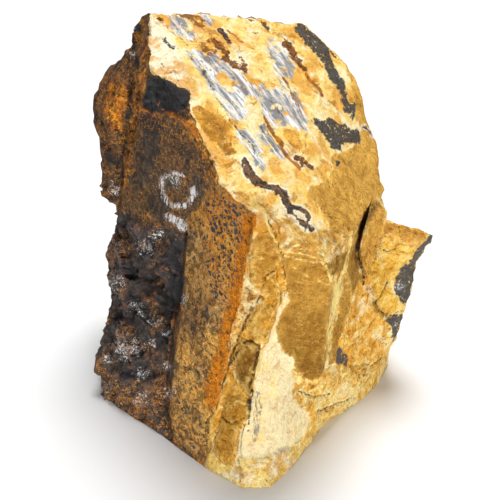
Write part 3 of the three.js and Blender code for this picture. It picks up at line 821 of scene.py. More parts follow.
blackPatch = either(*(zone(name, 0.8) for name in ("patchOne", "patchTwo", "patchThree")))
veins = either(*(zone(name, 0.9) for name in ("rustVein", "brownVein", "inkVein")))
cracks = smoothStep(-0.9, 0.8, field["crack"]) * seen
dips = either(zone("dipOne", 5), zone("dipTwo", 4), 0.6 * zone("dipThree", 4))
flakes = either(*(zone(name, 1) for name in ("flakeMiddle", "flakeLow", "flakeDark", "flakeTop")))
height += relief["blackPatch"] * blackPatch - relief["veins"] * veins * top - relief["cracks"] * cracks
height -= relief["patch"] * zone("patch", 2.0)
height -= relief["slit"] * zone("slit", 1.0) * smoothStep(-0.2, 0.5, slitNoise)
height += relief["flakes"] * flakes - relief["dips"] * dips
height -= relief["creamEdge"] * zone("creamEdge", 1.5) - relief["wornEdgeHighlight"] * zone("wornEdgeHighlight", 1.5)
height += relief["coats"] * either(zone("coatOne", 1), zone("coatTwo", 1)) * fine
height += relief["ring"] * zone("whiteRing", 1.5) * (0.5 + middle)
height += relief["orangeLine"] * zone("orangeLine", 1.2)
height = np.clip(height, relief["deepest"], relief["highest"])

push = smoothNormals.copy()
push[:, 2] *= smoothStep(0.0, 2.0, points[:, 2])
onBase = smoothPoints[:, 2] < rockShape["baseHeight"]
moves = spreadMean(onBase.astype(float), edgeLow, edgeHigh)[0] < 0.98
points = points + push * (height * moves)[:, None]
low, high = (np.array(corner) * 1000 for corner in cadBox)
points = np.clip(points, low + boxGap, high - boxGap)
points[onBase, 2] = low[2] + boxGap
print("relief done", round(float(height.min()), 2), round(float(height.max()), 2))

# Painted shade for the hollows, and painted highlight for the arrises that also stands for wear, from how
# far each point stands out of its neighbourhood
normals = pointNormals(points, faces)


def standsOut(around, rounds):
    for repeat in range(rounds):
        around = spreadMean(around, edgeLow, edgeHigh)[0]
    return around, np.sum((points - around) * normals, axis=1)


around, standOut = standsOut(points, 4)
_, wideOut = standsOut(around, 10)
hollowShade = clipped(smoothStep(0.02, 0.25, -standOut) + 0.8 * smoothStep(0.08, 0.7, -wideOut))
wearAndHighlight = clipped(smoothStep(0.02, 0.22, standOut) + 0.6 * smoothStep(0.10, 0.6, wideOut))

# Colours of the paint, in the 0 to 255 of a colour picker
colours = {
    "cream": (255, 222, 134), "creamPale": (255, 241, 194), "yellow": (252, 200, 96),
    "ochre": (206, 146, 50), "mustard": (228, 178, 84), "mustardDeep": (196, 146, 64),
    "panelTop": (194, 144, 60), "panelLow": (154, 112, 42), "panelDeep": (150, 104, 36),
    "bone": (244, 228, 182), "grain": (255, 194, 78), "nearWhite": (255, 249, 224),
    # The spine gold paints a highlight.
    "hornYellow": (255, 208, 88), "hornTop": (228, 170, 80), "spineHighlightGold": (255, 232, 150),
    "footGold": (255, 224, 128), "flakeBrown": (190, 138, 52), "flakeDark": (150, 108, 42),
    # The crack colour is the brown of the painted shade in the hollows and the fissure.
    "flakeGold": (214, 154, 54), "crack": (96, 62, 20), "grey": (168, 166, 164),
    "fin": (226, 172, 78), "olive": (128, 98, 48),
    "darkStone": (98, 81, 63), "darkBrown": (152, 110, 64), "coal": (80, 72, 65),
    "slabOlive": (216, 170, 102), "slabWarm": (255, 196, 96), "rust": (196, 116, 40),
    "orange": (255, 150, 12), "rustBrown": (152, 104, 52), "glass": (34, 33, 35),
    "glassLight": (82, 82, 86),
}


def toLinear(colour):
    share = np.array(colour, float) / 255
    return np.where(share <= 0.04045, share / 12.92, ((share + 0.055) / 1.055) ** 2.4)


linear = {name: toLinear(colour) for name, colour in colours.items()}
slow = layeredNoise(smoothPoints, 9, 3, seed=41)
quick = layeredNoise(smoothPoints, 3.2, 3, seed=47)
tiny = layeredNoise(smoothPoints, 1.2, 2, seed=53)


def paintCoat(name):
    return np.tile(linear[name], (len(points), 1))


def paint(target, mask, name, strength=1.0):
    amount = clipped(mask * strength)[:, None]
    target[:] = target * (1 - amount) + linear[name] * amount


# Three layers of paint: the pale ground, the ochre flakes and faces, and the dark stone. The
# material lays them over each other with a ragged edge.
strip = zone("strip", 2) * (1 - dark)
brow = zone("brow", 3)
creamEdge = zone("creamEdge", 1.2)
cornerLip = smoothStep(8, 1, -field["dark"]) * top
rightFoot = rowFade("rightFoot", slanted(footSlant)) * lower * (1 - strip)
footArea = rowFade("foot", 2 * quick) * lower
paleTint = paintCoat("cream")
for mask, name, strength in [
    (unseen * smoothStep(-0.5, 0.5, slow), "yellow", 1),
    (top * smoothStep(0.0, 0.9, quick), "creamPale", 0.8),
    (top * smoothStep(-0.1, 0.8, slow), "yellow", 0.6),
    (zone("cornerPale", 3), "nearWhite", 0.85),
    (cornerLip * smoothStep(-0.5, 0.1, quick), "nearWhite", 0.7),
    (either(zone("dipFour", 4), zone("dipFive", 3)), "ochre", 0.45),
    (zone("islandOne", 2), "yellow", 0.6),
    (lower * smoothStep(-0.4, 0.6, slow + 0.3 * quick), "yellow", 0.85),
    (lower * smoothStep(0.35, 0.7, -quick), "nearWhite", 0.5),
    (lower * smoothStep(0.3, 0.8, quick + 0.3 * tiny), "ochre", 0.6),
    (brow, "mustardDeep", 0.9),
    (brow * smoothStep(-0.3, 0.2, quick + 0.3 * tiny), "panelLow", 0.75),
    (brow * smoothStep(0.25, 0.5, -quick), "creamPale", 0.7),
    (zone("wash", 3) * smoothStep(-0.4, 0.2, tiny), "cream", 0.6),
    (strip, "grain", 0.9),
    (strip * smoothStep(-0.2, 0.3, quick), "ochre", 0.75),
    (creamEdge, "creamPale", 0.85),
    (creamEdge * smoothStep(-0.2, 0.3, quick + 0.4 * tiny), "yellow", 0.85),
    # Painted highlight on the spine
    (zone("spineHighlight", 1.5), "spineHighlightGold", 0.95),
    (granular, "grain", 0.9),
    (granular * smoothStep(0.1, 0.5, -quick), "footGold", 0.6),
    (hornFace, "hornYellow", 0.95),
    (hornFace * smoothStep(0.2, 0.6, quick), "ochre", 0.55),
    (rightFoot, "footGold", 0.75),
    (rightFoot * smoothStep(0.15, 0.6, quick), "grain", 0.8),
    (footArea, "footGold", 0.8),
    (footArea * smoothStep(0.0, 0.4, quick), "nearWhite", 0.8),
    (patch, "bone", 1),
    (patch * smoothStep(0.1, 0.7, quick), "cream", 0.5),
    (zone("greySpot", 1), "grey", 0.7),
    ((smoothPoints[:, 2] < rockShape["lowHeight"]).astype(float), "yellow", 0.8),
]:
    paint(paleTint, mask, name, strength)

ochreNames = [
    "panel", "flakeTop", "flakeMiddle", "flakeLow", "flakeDark", "rightStrip", "facetC",
    "flank", "hornTop", "dipOne", "dipTwo", "dipThree", "fin",
]
fallOff = rowFade("panel")
panelArea = zone("panel", 3)
topDips = either(zone("dipOne", 3), zone("dipTwo", 3), zone("dipThree", 3))
flakeMiddle = zone("flakeMiddle", 3)
flakeLow = zone("flakeLow", 3)
rightStrip = zone("rightStrip", 2)
facetC = zone("facetC", 2)
hornTop = zone("hornTop", 2)
ochreTint = paintCoat("mustard")
for mask, name, strength in [
    (smoothStep(-0.4, 0.8, slow + 0.5 * quick), "mustardDeep", 0.55),
    (zone("dipOne", 3), "ochre", 0.9),
    (zone("dipTwo", 3), "ochre", 0.9),
    (zone("dipThree", 3), "ochre", 0.9),
    (zone("flakeTop", 3), "flakeBrown", 0.95),
    (either(flakeMiddle, flakeLow), "flakeGold", 0.95),
    (flakeMiddle * smoothStep(0.0, 0.6, quick), "flakeBrown", 0.6),
    (flakeLow * smoothStep(-0.1, 0.5, slow), "flakeBrown", 0.6),
    (zone("flakeDark", 3), "flakeDark", 0.95),
    (panelArea * (1 - fallOff), "panelTop", 1),
    (panelArea * fallOff, "panelLow", 1),
    (panelArea * smoothStep(0.0, 0.7, quick), "panelLow", 0.4),
    (panelArea * smoothStep(0.1, 0.7, -slow), "panelDeep", 0.5),
    (topDips * smoothStep(-0.1, 0.4, quick + 0.4 * tiny), "flakeDark", 0.75),
    (topDips * smoothStep(0.2, 0.6, -quick), "yellow", 0.6),
    # Painted shade: this face is painted darker than the faces beside it
    (rightStrip, "panelLow", 0.65),
    (facetC, "panelLow", 0.9),
    (hornTop, "hornTop", 0.9),
    (hornTop * smoothStep(0.1, 0.6, quick), "hornYellow", 0.5),
    (fin, "fin", 0.9),
]:
    paint(ochreTint, mask, name, strength)

# The dark stone goes over the whole rock; only the crust shows it.
slabArea = zone("slab", 2.0)
farArea = zone("farLeft", 3)
roughArea = clipped(zone("rough", 4) + unseen * farSide["rough"])
lowRough = roughArea * seen * rowFade("lowRough")
oliveSpot = {"middle": (142, 200), "radius": 26}
fromOlive = np.linalg.norm(picture - np.array(oliveSpot["middle"]), axis=1)
lipSide = smoothStep(14, 2, field["dark"]) * rowFade("lipSide") * seen
orangeRust = zone("orangeRust", 4)
rustBand = smoothStep(-6, 3, field["rustBand"]) * seen
darkTint = paintCoat("darkStone")
for mask, name, strength in [
    (smoothStep(0.1, 0.9, slow + 0.3 * quick), "darkBrown", 0.7),
    (smoothStep(oliveSpot["radius"], 0, fromOlive) * seen, "olive", 0.7),
    (lipSide, "olive", 0.75),
    (roughArea, "coal", 1),
    (roughArea * smoothStep(0.2, 0.9, slow + 0.4 * quick), "darkBrown", 0.7),
    (lowRough * smoothStep(-0.2, 0.5, quick), "rustBrown", 0.7),
    (farArea, "darkStone", 1),
    (farArea * smoothStep(0.2, 0.8, quick), "rustBrown", 0.4),
    (orangeRust, "rust", 0.8),
    (orangeRust * smoothStep(-0.2, 0.5, quick), "orange", 0.8),
    (zone("ridge", 2), "rustBrown", 0.75),
    (zone("ridge", 1) * smoothStep(-0.2, 0.5, quick), "rust", 0.7),
    (slabArea, "slabOlive", 1),
    (slabArea * smoothStep(-0.3, 0.5, slow), "slabWarm", 0.85),
    (slabArea * zone("slabDark", 8), "darkStone", 0.6),
    (slabArea * rowFade("slabTop"), "rustBrown", 0.6),
    (rustBand, "rust", 0.8),
    (rustBand * smoothStep(-0.3, 0.4, quick + 0.3 * tiny), "orange", 0.9),
    (either(glass, 0.8 * zone("blocks", 2)), "glass", 0.97),
    (glass * smoothStep(0.5, 0.9, chipTone), "glassLight", 0.8),
    (roughArea * smoothStep(0.55, 0.9, boulderTone), "glassLight", 0.6),
    (roughArea * smoothStep(0.35, 0.9, brokenTone), "glass", 0.8),
    (roughArea * smoothStep(0.55, 0.9, chipTone), "glassLight", 0.6),
    (zone("orangeLine", 1.0), "rust", 0.85),
]:
    paint(darkTint, mask, name, strength)

# Painted shade in the hollows and the fissure; painted highlight, partly wear, on the arrises, the worn
# edge lines and the spine; rust on the dark stone's arrises
paleHollowShade = hollowShade * (1 - 0.6 * top) * (1 - 0.7 * patch) * (1 - 0.7 * fin)
# Painted shade in the fissure beside the fin and in two other clefts
fissureShadow = smoothStep(-3.5, 2.0, field["fissureShade"]) * seen
for tint in (paleTint, ochreTint):
    paint(tint, paleHollowShade, "crack", 0.34)
    paint(tint, wearAndHighlight * (1 - top) * (1 - 0.6 * panel), "cream", 0.5)
    paint(tint, fissureShadow, "crack", 0.85)
    paint(tint, zone("wornEdgeHighlight", 1.2), "cream", 0.85)
paint(paleTint, zone("spineHighlight", 1.2), "spineHighlightGold", 0.85)
paint(darkTint, wearAndHighlight * (1 - glass) * (1 - 0.7 * rough), "rust", 0.28)
# Painted highlight on the arrises of the rough crust
paint(darkTint, wearAndHighlight * rough, "glassLight", 0.45)
paint(darkTint, wearAndHighlight * rough * smoothStep(0.2, 0.6, quick), "rust", 0.3)
# Painted shade: the hollows of the dark stone go near black
paint(darkTint, hollowShade * (1 - slab), "glass", 0.6)
print("paint laid on")

# What the shader sharpens: fields in pixels, which are about zero at an edge
sharpest = 6
nowhere = -8


def onlySeen(values, hidden=nowhere):
    return np.where(seen > 0.5, values, hidden)


def joined(*names):
    return np.maximum.reduce([field[name] for name in names])


def spreadOver(seenField, hiddenMask):
    hiddenField = 2 * sharpest * hiddenMask - sharpest
    return seen * np.clip(seenField, -sharpest, sharpest) + unseen * hiddenField


blackSpots = smoothStep(0.45, 0.75, slow + 0.4 * quick) * (1 - hiddenDark)
blackSpots *= smoothStep(*farSide["blackBelow"], points[:, 2])
hiddenBlack = farSide["blackPixels"] * blackSpots - sharpest
blackField = joined("patchOne", "patchTwo", "patchThree", "coatOne", "coatTwo", "inkSpot")
whiteNames = ["white" + n for n in ("One", "Two", "Three", "Four", "Five", "Six", "Seven")]
hiddenOchre = smoothStep(-0.5, 0.6, slow + 0.3 * quick)

# Glints, the net of rust threads, and how grainy, pitted, golden and glossy the stone is
coats = either(zone("coatOne", 1), zone("coatTwo", 1), zone("inkSpot", 1))
glint = np.zeros(len(points))
for x, y, radius in glintSpots:
    away = np.linalg.norm(place - np.array([x, y]), axis=1)
    glint = np.maximum(glint, smoothStep(radius, radius * 0.3, away))
hiddenGlint = 0.35 * unseen * hiddenDark * smoothStep(0.2, 0.6, quick)
glint = clipped(glint * either(dark, coats) * seen + hiddenGlint)
nearLip = smoothStep(22, 2, field["dark"]) * rowFade("nearLip")
net = 0.34 * upperDark + 0.45 * slab + 0.24 * farLeft + 0.17 * rough + 0.34 * lowRough
net += 0.45 * upperDark * nearLip
net += 0.6 * zone("orangeRust", 5) + 0.4 * zone("ridge", 2) + 0.35 * rustBand
calmStone = either(
    0.45 * panel, 0.15 * flank, 0.5 * patch, 0.3 * rightStrip, 0.4 * brow, 0.35 * top)
grainShare = 1 - clipped(calmStone) * (1 - dark) - 0.35 * upperDark - 0.25 * rough
pores = clipped(0.6 * granular + 0.3 * lower * (1 - patch) + 0.22 * top + 0.4 * flank)
notGold = either(
    0.85 * flank, panel, patch, 0.95 * rightStrip, 0.9 * facetC, 0.8 * strip, 0.6 * hornFace)
gold = clipped(0.9 * top + 0.45 * lower + 0.2 * granular) * (1 - notGold)
gloss = 0.6 * rough + 0.25 * upperDark + 0.5 * glass + 0.1 * slab + 0.2 * farLeft + 0.45 * coats

seenLines = {
    "ring": "whiteRing", "rustVein": "rustVein", "brownVein": "brownVein", "slit": "slit",
    "veinLine": "veinLine", "wornHighlightLine": "wornEdgeHighlight", "fineLine": "fineLine",
    "crackLine": "crack",
}
marks = {name: onlySeen(field[source]) for name, source in seenLines.items()}
marks.update({
    "black": onlySeen(blackField, hiddenBlack),
    "white": onlySeen(np.minimum(joined(*whiteNames), -field["islandOne"])),
    "rustPatch": onlySeen(joined("rustOne", "rustTwo")),
    "inkVein": onlySeen(joined("inkVein", "inkBody")),
    "darkEdge": spreadOver(field["dark"], hiddenDark),
    "ochreEdge": spreadOver(joined(*ochreNames), hiddenOchre),
    "glint": glint,
    "net": clipped(net * (1 - glass)),
    "pores": clipped(pores * (1 - 0.8 * panel)),
    "gold": gold,
    "gloss": clipped(gloss),
    "slab": slab,
    "cells": smoothStep(-7, 5, field["slabCells"]) * slab * seen,
    "grainShare": grainShare,
    "band": clipped(rustBand * dark),
    "lower": clipped(lower * (1 - 0.65 * patch) * (1 - 0.3 * hornFace) * (1 - 0.5 * footArea)),
    "fibre": clipped(seen * (1 - dark) * (picture[:, 1] < fibreEnd)),
})

# Into Blender
rockMesh = bpy.data.meshes.new("ilvaiteRock")
rockMesh.vertices.add(len(points))
rockMesh.vertices.foreach_set("co", (points / 1000).astype(np.float32).ravel())
rockMesh.loops.add(len(faces) * 3)
rockMesh.loops.foreach_set("vertex_index", faces.astype(np.int32).ravel())
rockMesh.polygons.add(len(faces))
rockMesh.polygons.foreach_set("loop_start", np.arange(0, len(faces) * 3, 3, dtype=np.int32))
rockMesh.polygons.foreach_set("use_smooth", np.ones(len(faces), bool))
rockMesh.update()
rockMesh.validate()
rock = bpy.data.objects.new("ilvaiteRock", rockMesh)
bpy.context.scene.collection.objects.link(rock)

for name, tint in (("paleTint", paleTint), ("ochreTint", ochreTint), ("darkTint", darkTint)):
    tintLayer = rockMesh.attributes.new(name, "FLOAT_COLOR", "POINT")
    opaque = np.column_stack([tint, np.ones(len(tint))])
    tintLayer.data.foreach_set("color", opaque.astype(np.float32).ravel())
for name, values in marks.items():
    markLayer = rockMesh.attributes.new(name, "FLOAT", "POINT")
    markLayer.data.foreach_set("value", values.astype(np.float32))
print("mesh in blender", len(rockMesh.polygons))

# Material: one stone, its three layers of paint and the markings laid over them
stone = bpy.data.materials.new("ilvaiteStone")
stone.use_nodes = True
stoneTree = stone.node_tree
stoneTree.nodes.clear()


def node(kind, **settings):
    made = stoneTree.nodes.new(kind)
    for name, value in settings.items():
        setattr(made, name, value)
    return made


def put(made, **values):
    for name, value in values.items():
        plug(made, name.replace("_", " "), value)


def plug(made, name, value):
    socket = made.inputs[name]
    if isinstance(value, bpy.types.NodeSocket):
        stoneTree.links.new(value, socket)
    else:
        socket.default_value = value


def calc(operation, a, b=None, clamp=False):
    made = node("ShaderNodeMath", operation=operation, use_clamp=clamp)
    plug(made, 0, a)
    if b is not None:
        plug(made, 1, b)
    return made.outputs[0]


def times(*factors):
    total = factors[0]
    for factor in factors[1:]:
        total = calc("MULTIPLY", total, factor)
    return total


def plus(a, b):
    return calc("ADD", a, b)


def without(mask):
    return calc("SUBTRACT", 1.0, mask, clamp=True)


def centred(value, amount):
    return times(calc("SUBTRACT", value, 0.5), amount)


def blend(amount, a, b, mode="MIX"):
    made = node("ShaderNodeMix", data_type="RGBA", blend_type=mode)
    plug(made, 0, amount)
    for index, value in ((6, a), (7, b)):
        plug(made, index, value if isinstance(value, bpy.types.NodeSocket) else (*value, 1))
    return made.outputs[2]


def span(value, low, high, toLow=0.0, toHigh=1.0):
    made = node("ShaderNodeMapRange", interpolation_type="SMOOTHSTEP")
    put(made, Value=value, From_Min=low, From_Max=high, To_Min=toLow, To_Max=toHigh)
    return made.outputs["Result"]


def mark(name):
    made = node("ShaderNodeAttribute", attribute_type="GEOMETRY", attribute_name=name)
    return made.outputs["Color" if name.endswith("Tint") else "Fac"]


def scaled(vector, factor):
    made = node("ShaderNodeVectorMath", operation="SCALE")
    plug(made, 0, vector)
    plug(made, "Scale", factor)
    return made.outputs[0]


here = scaled(node("ShaderNodeTexCoord").outputs["Object"], 1000.0)


# Long in one direction and fine across it: the turn in degrees, and the size each way
def stretched(turn, size):
    made = node("ShaderNodeMapping", vector_type="TEXTURE")
    put(made, Vector=here, Rotation=[math.radians(angle) for angle in turn], Scale=size)
    return made.outputs[0]


grainPlaces = {
    "here": here,
    "streak": stretched((0, 19, -52.6), (7.0, 1.0, 1.6)),
    "upright": stretched((0, 0, 0), (1.0, 1.0, 8.0)),
    "scratch": stretched((0, 34, 20), (9.0, 1.0, 1.0)),
    "glint": stretched((28.6479, 22.9183, 51.5662), (4.0, 1.0, 1.0)),
}
# The noises of the stone: where they lie, scale per millimetre, detail, harshness, distortion
grains = {
    "dust": ("here", 3.4, 2, 0.6, 0),
    "fine": ("here", 1.9, 4, 0.68, 0),
    "soft": ("here", 0.62, 5, 0.66, 0),
    "broad": ("here", 0.12, 4, 0.6, 0),
    "edge": ("here", 0.75, 5, 0.72, 0),
    "blotch": ("here", 0.15, 6, 0.58, 0.5),
    "deepBlotch": ("here", 0.24, 6, 0.62, 0.5),
    "stain": ("here", 0.34, 6, 0.72, 0.8),
    "sand": ("here", 1.1, 5, 0.82, 1.2),
    "scratch": ("scratch", 0.45, 3, 0.6, 0),
    "rimBreak": ("here", 0.28, 3, 0.6, 0),
    "amber": ("here", 0.30, 6, 0.74, 0.9),
    "threadZone": ("here", 0.2, 2, 0.55, 0),
    "paleThread": ("here", 0.42, 5, 0.62, 0.6),
    "poreZone": ("here", 0.25, 3, 0.55, 0),
    "fleck": ("here", 1.5, 3, 0.7, 1.2),
    "speck": ("here", 0.36, 6, 0.76, 0.8),
    "rust": ("here", 0.9, 5, 0.76, 0),
    "rustThread": ("here", 0.20, 6, 0.66, 0.9),
    "fineThread": ("here", 0.46, 6, 0.66, 0.6),
    "spark": ("here", 1.5, 3, 0.8, 1.2),
    "cellZone": ("here", 0.40, 4, 0.55, 0),
    "pit": ("here", 0.85, 5, 0.78, 1.0),
    "band": ("here", 0.7, 5, 0.72, 0.5),
    "bandSpot": ("here", 0.75, 5, 0.76, 0.6),
    "glint": ("here", 0.95, 4, 0.8, 1.4),
    "glintBreak": ("glint", 1.3, 3, 0.7, 0),
    "ringBreak": ("upright", 1.6, 3, 0.7, 0),
    "slitBreak": ("upright", 1.5, 3, 0.6, 0),
    "streak": ("streak", 1.7, 4, 0.65, 0.4),
    "wideStreak": ("streak", 0.55, 4, 0.65, 0.3),
    "fibreZone": ("here", 0.30, 5, 0.68, 0),
    "fibreLine": ("streak", 0.40, 4, 0.6, 0.5),
    "brownZone": ("here", 0.15, 2, 0.55, 0),
    "brownStreak": ("streak", 0.30, 5, 0.65, 0.7),
    "inkFleck": ("here", 0.8, 5, 0.75, 0.6),
    "coatFleck": ("here", 0.8, 5, 0.74, 0.8),
}


def noise(lies, scale, detail, harshness, distortion):
    made = node("ShaderNodeTexNoise")
    put(made, Vector=grainPlaces[lies], Scale=scale, Detail=detail)
    put(made, Roughness=harshness, Distortion=distortion)
    return made.outputs["Fac"]


grain = {name: noise(*settings) for name, settings in grains.items()}

# Colours of the markings, in the 0 to 255 of a colour picker
tones = {
    "goldBlotch": (232, 164, 58), "deepBlotch": (178, 116, 36), "paleBlotch": (255, 246, 212),
    "darkenPale": (226, 206, 168), "darkenCrust": (176, 170, 166), "darkenOchre": (206, 186, 140),
    # The rim tone is a painted shadow line beside the ochre faces.
    "darkenSand": (178, 150, 104), "scratch": (244, 200, 112), "rimShadow": (104, 66, 20),
    "amber": (214, 146, 46), "amberDeep": (134, 84, 24), "brightGrain": (255, 240, 180),
    "paleThread": (150, 98, 36), "pore": (112, 72, 26), "fleck": (255, 246, 214),
    "speck": (42, 39, 39), "rustSpeck": (190, 106, 24), "rustSpark": (255, 176, 60),
    "cellInk": (44, 46, 54), "cellGrey": (96, 98, 106), "cellWall": (244, 154, 44),
    "pit": (26, 23, 22), "bandDeep": (190, 92, 6), "bandBright": (255, 164, 24),
    # The crystal tone paints glints, partly pale crystals.
    "bandSpot": (66, 46, 36), "veinLine": (226, 132, 36), "crystalGlint": (240, 236, 232),
    "ring": (242, 238, 236), "fibreGrey": (134, 138, 146), "fibreWhite": (248, 248, 248),
    "fibreDark": (104, 108, 116), "fibreCream": (250, 236, 200), "fibreLine": (74, 64, 62),
    # The worn line tone is a painted highlight on the arrises, partly wear.
    "brownStreak": (128, 80, 40), "fineLine": (70, 58, 56), "wornHighlightLine": (255, 232, 142),
    "halo": (255, 248, 222), "rustLight": (196, 118, 42), "rustDark": (112, 60, 26),
    "brownDark": (50, 32, 26), "brownLight": (152, 88, 38), "ink": (40, 37, 41),
    "inkBrown": (128, 82, 48), "inkPale": (196, 190, 186), "coatDark": (48, 45, 46),
    "coatGrey": (92, 87, 84), "coatGlint": (214, 212, 214), "crackLine": (74, 44, 12),
    "slit": (146, 134, 122),
}
tone = {name: tuple(float(v) for v in toLinear(colour)) for name, colour in tones.items()}
# Each stain: its noise, where the noise starts and ends to show it, and its share
stains = {
    "goldBlotch": ("blotch", 0.50, 0.57, 0.8),
    "deepBlotch": ("deepBlotch", 0.58, 0.62, 0.75),
    "paleBlotch": ("blotch", 0.47, 0.38, 0.7),
    "amber": ("amber", 0.53, 0.57, 0.75),
    "amberDeep": ("amber", 0.60, 0.63, 0.8),
    "brightGrain": ("amber", 0.46, 0.41, 0.7),
    "fleck": ("fleck", 0.60, 0.68, 0.5),
    "speck": ("speck", 0.49, 0.52, 0.75),
    "pit": ("pit", 0.43, 0.38, 0.85),
    "bandSpot": ("bandSpot", 0.56, 0.59, 0.85),
}
# Each shade: its noise, where it starts and ends, and its share. It multiplies what is under it.
shades = {
    "softDark": ("soft", 0.54, 0.36, 0.75),
    "softLight": ("soft", 0.52, 0.68, 0.6),
    "fineDark": ("fine", 0.47, 0.34, 0.85),
    "fineLight": ("fine", 0.54, 0.68, 0.8),
    "dustDark": ("dust", 0.42, 0.30, 0.6),
    "stainDark": ("stain", 0.49, 0.42, 0.6),
    "stainLight": ("stain", 0.54, 0.62, 0.7),
    "sandDark": ("sand", 0.45, 0.38, 0.85),
    "sandLight": ("sand", 0.57, 0.64, 0.8),
}
lightenings = {
    "pale": (1.22, 1.20, 1.16), "crust": (1.6, 1.5, 1.4),
    "ochre": (1.30, 1.28, 1.22), "sand": (1.45, 1.42, 1.35),
}
# Each drawn line: how ragged it is in pixels, its noise, how soft its edge is, and its share
drawnLines = {
    "veinLine": (2.6, "edge", 0.45, 0.9),
    "fineLine": (2.2, "fine", 0.45, 0.9),
    "wornHighlightLine": (5.0, "edge", 0.6, 0.75),
    "crackLine": (5.0, "edge", 0.45, 0.85),
}
# Thin threads: half their width, as a step of the noise they follow
threadWidths = {
    "scratch": 0.010, "paleThread": 0.008, "rustThread": 0.0075, "fineThread": 0.0085,
    "fibreLine": 0.010, "brownStreak": 0.008,
}


def sharpField(name, ragged, grainy="edge", soft=0.4):
    source = grain[grainy] if isinstance(grainy, str) else grainy
    return span(plus(mark(name), centred(source, ragged)), -soft, soft)


def cut(name, low, high):
    return span(grain[name], low, high)


def thread(name):
    width = threadWidths[name]
    away = calc("ABSOLUTE", calc("SUBTRACT", grain[name], 0.5))
    return span(away, width, width * 0.25)


def lay(under, mask, share, over):
    return blend(times(mask, share), under, tone[over] if isinstance(over, str) else over)


def stained(under, name, *zones):
    source, low, high, share = stains[name]
    return lay(under, times(cut(source, low, high), *zones), share, name)


def shaded(under, name, factor, *zones):
    source, low, high, share = shades[name]
    return lay(under, times(cut(source, low, high), *zones), share,
               blend(1.0, under, factor, "MULTIPLY"))


def drawn(under, name, *zones):
    ragged, source, soft, share = drawnLines[name]
    return lay(under, times(sharpField(name, ragged, source, soft), *zones), share, name)


def voronoi(vector, scale, feature="F1"):
    made = node("ShaderNodeTexVoronoi", feature=feature)
    put(made, Vector=vector, Scale=scale, Randomness=1.0)
    return made.outputs["Distance"]


crust = sharpField("darkEdge", 6.0)
pale = without(crust)
ochreShift = plus(mark("ochreEdge"), centred(grain["edge"], 7.0))
ochreMask = span(ochreShift, -0.5, 0.5)
# Painted shadow line on the pale stone just outside the ochre faces
ochreRimShadow = times(span(ochreShift, -1.5, -0.6), span(ochreShift, 0.5, -0.3))
ochreOnly = times(ochreMask, pale)
goldMark = mark("gold")

# Blotches of gold and of near white in the pale stone, then the other two layers of paint
colour = mark("paleTint")
for name in ("goldBlotch", "deepBlotch", "paleBlotch"):
    colour = stained(colour, name, goldMark)
colour = blend(ochreMask, colour, mark("ochreTint"))
colour = blend(crust, colour, mark("darkTint"))

# Grain over everything: soft mottling, fine grains, dust
grainMark = mark("grainShare")
darker = blend(crust, tone["darkenPale"], tone["darkenCrust"])
lighter = blend(crust, lightenings["pale"], lightenings["crust"])
colour = shaded(colour, "softDark", darker, grainMark)
colour = shaded(colour, "softLight", lighter, grainMark)
colour = shaded(colour, "fineDark", darker, grainMark)
colour = shaded(colour, "fineLight", lighter, grainMark)
colour = shaded(colour, "dustDark", darker)

# Stains, sandy specks, faint scratches, and a broken dark line of painted shadow on the pale stone just
# outside the ochre faces
colour = shaded(colour, "stainDark", tone["darkenOchre"], ochreOnly)
colour = shaded(colour, "stainLight", lightenings["ochre"], ochreOnly)
colour = shaded(colour, "sandDark", tone["darkenSand"], ochreOnly)
colour = shaded(colour, "sandLight", lightenings["sand"], ochreOnly)
colour = lay(colour, times(thread("scratch"), ochreOnly), 0.4, "scratch")
rimShadowMask = times(ochreRimShadow, cut("rimBreak", 0.46, 0.54), pale, without(goldMark))
colour = lay(colour, rimShadowMask, 0.75, "rimShadow")

# Amber crusts and bright grains in the pale stone below the top
lowPale = times(pale, without(ochreMask), mark("lower"))
for name in ("amber", "amberDeep", "brightGrain"):
    colour = stained(colour, name, lowPale)

# Thin brown threads, small pits and flecks in the pale stone
threadZone = times(cut("threadZone", 0.48, 0.6), pale)
colour = lay(colour, times(thread("paleThread"), threadZone), 0.55, "paleThread")
poreZone = times(cut("poreZone", 0.47, 0.60), mark("pores"))
poreMask = times(span(voronoi(here, 1.0), 0.26, 0.12), poreZone)
poreMask = calc("MULTIPLY", poreMask, 2.2, clamp=True)
colour = lay(colour, poreMask, 0.8, "pore")
colour = stained(colour, "fleck", pale, goldMark)

# The dark stone: black specks, rust specks, thin rust threads
colour = stained(colour, "speck", crust)
netMark = mark("net")
rustPlace = plus(grain["broad"], centred(netMark, 0.35))
rustGrain = plus(grain["rust"], centred(netMark, 0.20))
rustMasks = [
    times(span(rustGrain, 0.575, 0.605), span(rustPlace, 0.40, 0.50)),
    times(thread("rustThread"), span(rustPlace, 0.36, 0.42)),
    times(thread("fineThread"), span(rustPlace, 0.43, 0.50), 0.8),
    times(cut("spark", 0.60, 0.64), span(rustPlace, 0.36, 0.44), 0.9),
]
rustMask = rustMasks[0]
for mask in rustMasks[1:]:
    rustMask = calc("MAXIMUM", rustMask, mask)
rustHue = blend(cut("edge", 0.38, 0.58), tone["rustSpeck"], tone["rustSpark"])
colour = lay(colour, times(rustMask, span(netMark, 0.02, 0.12)), 0.95, rustHue)

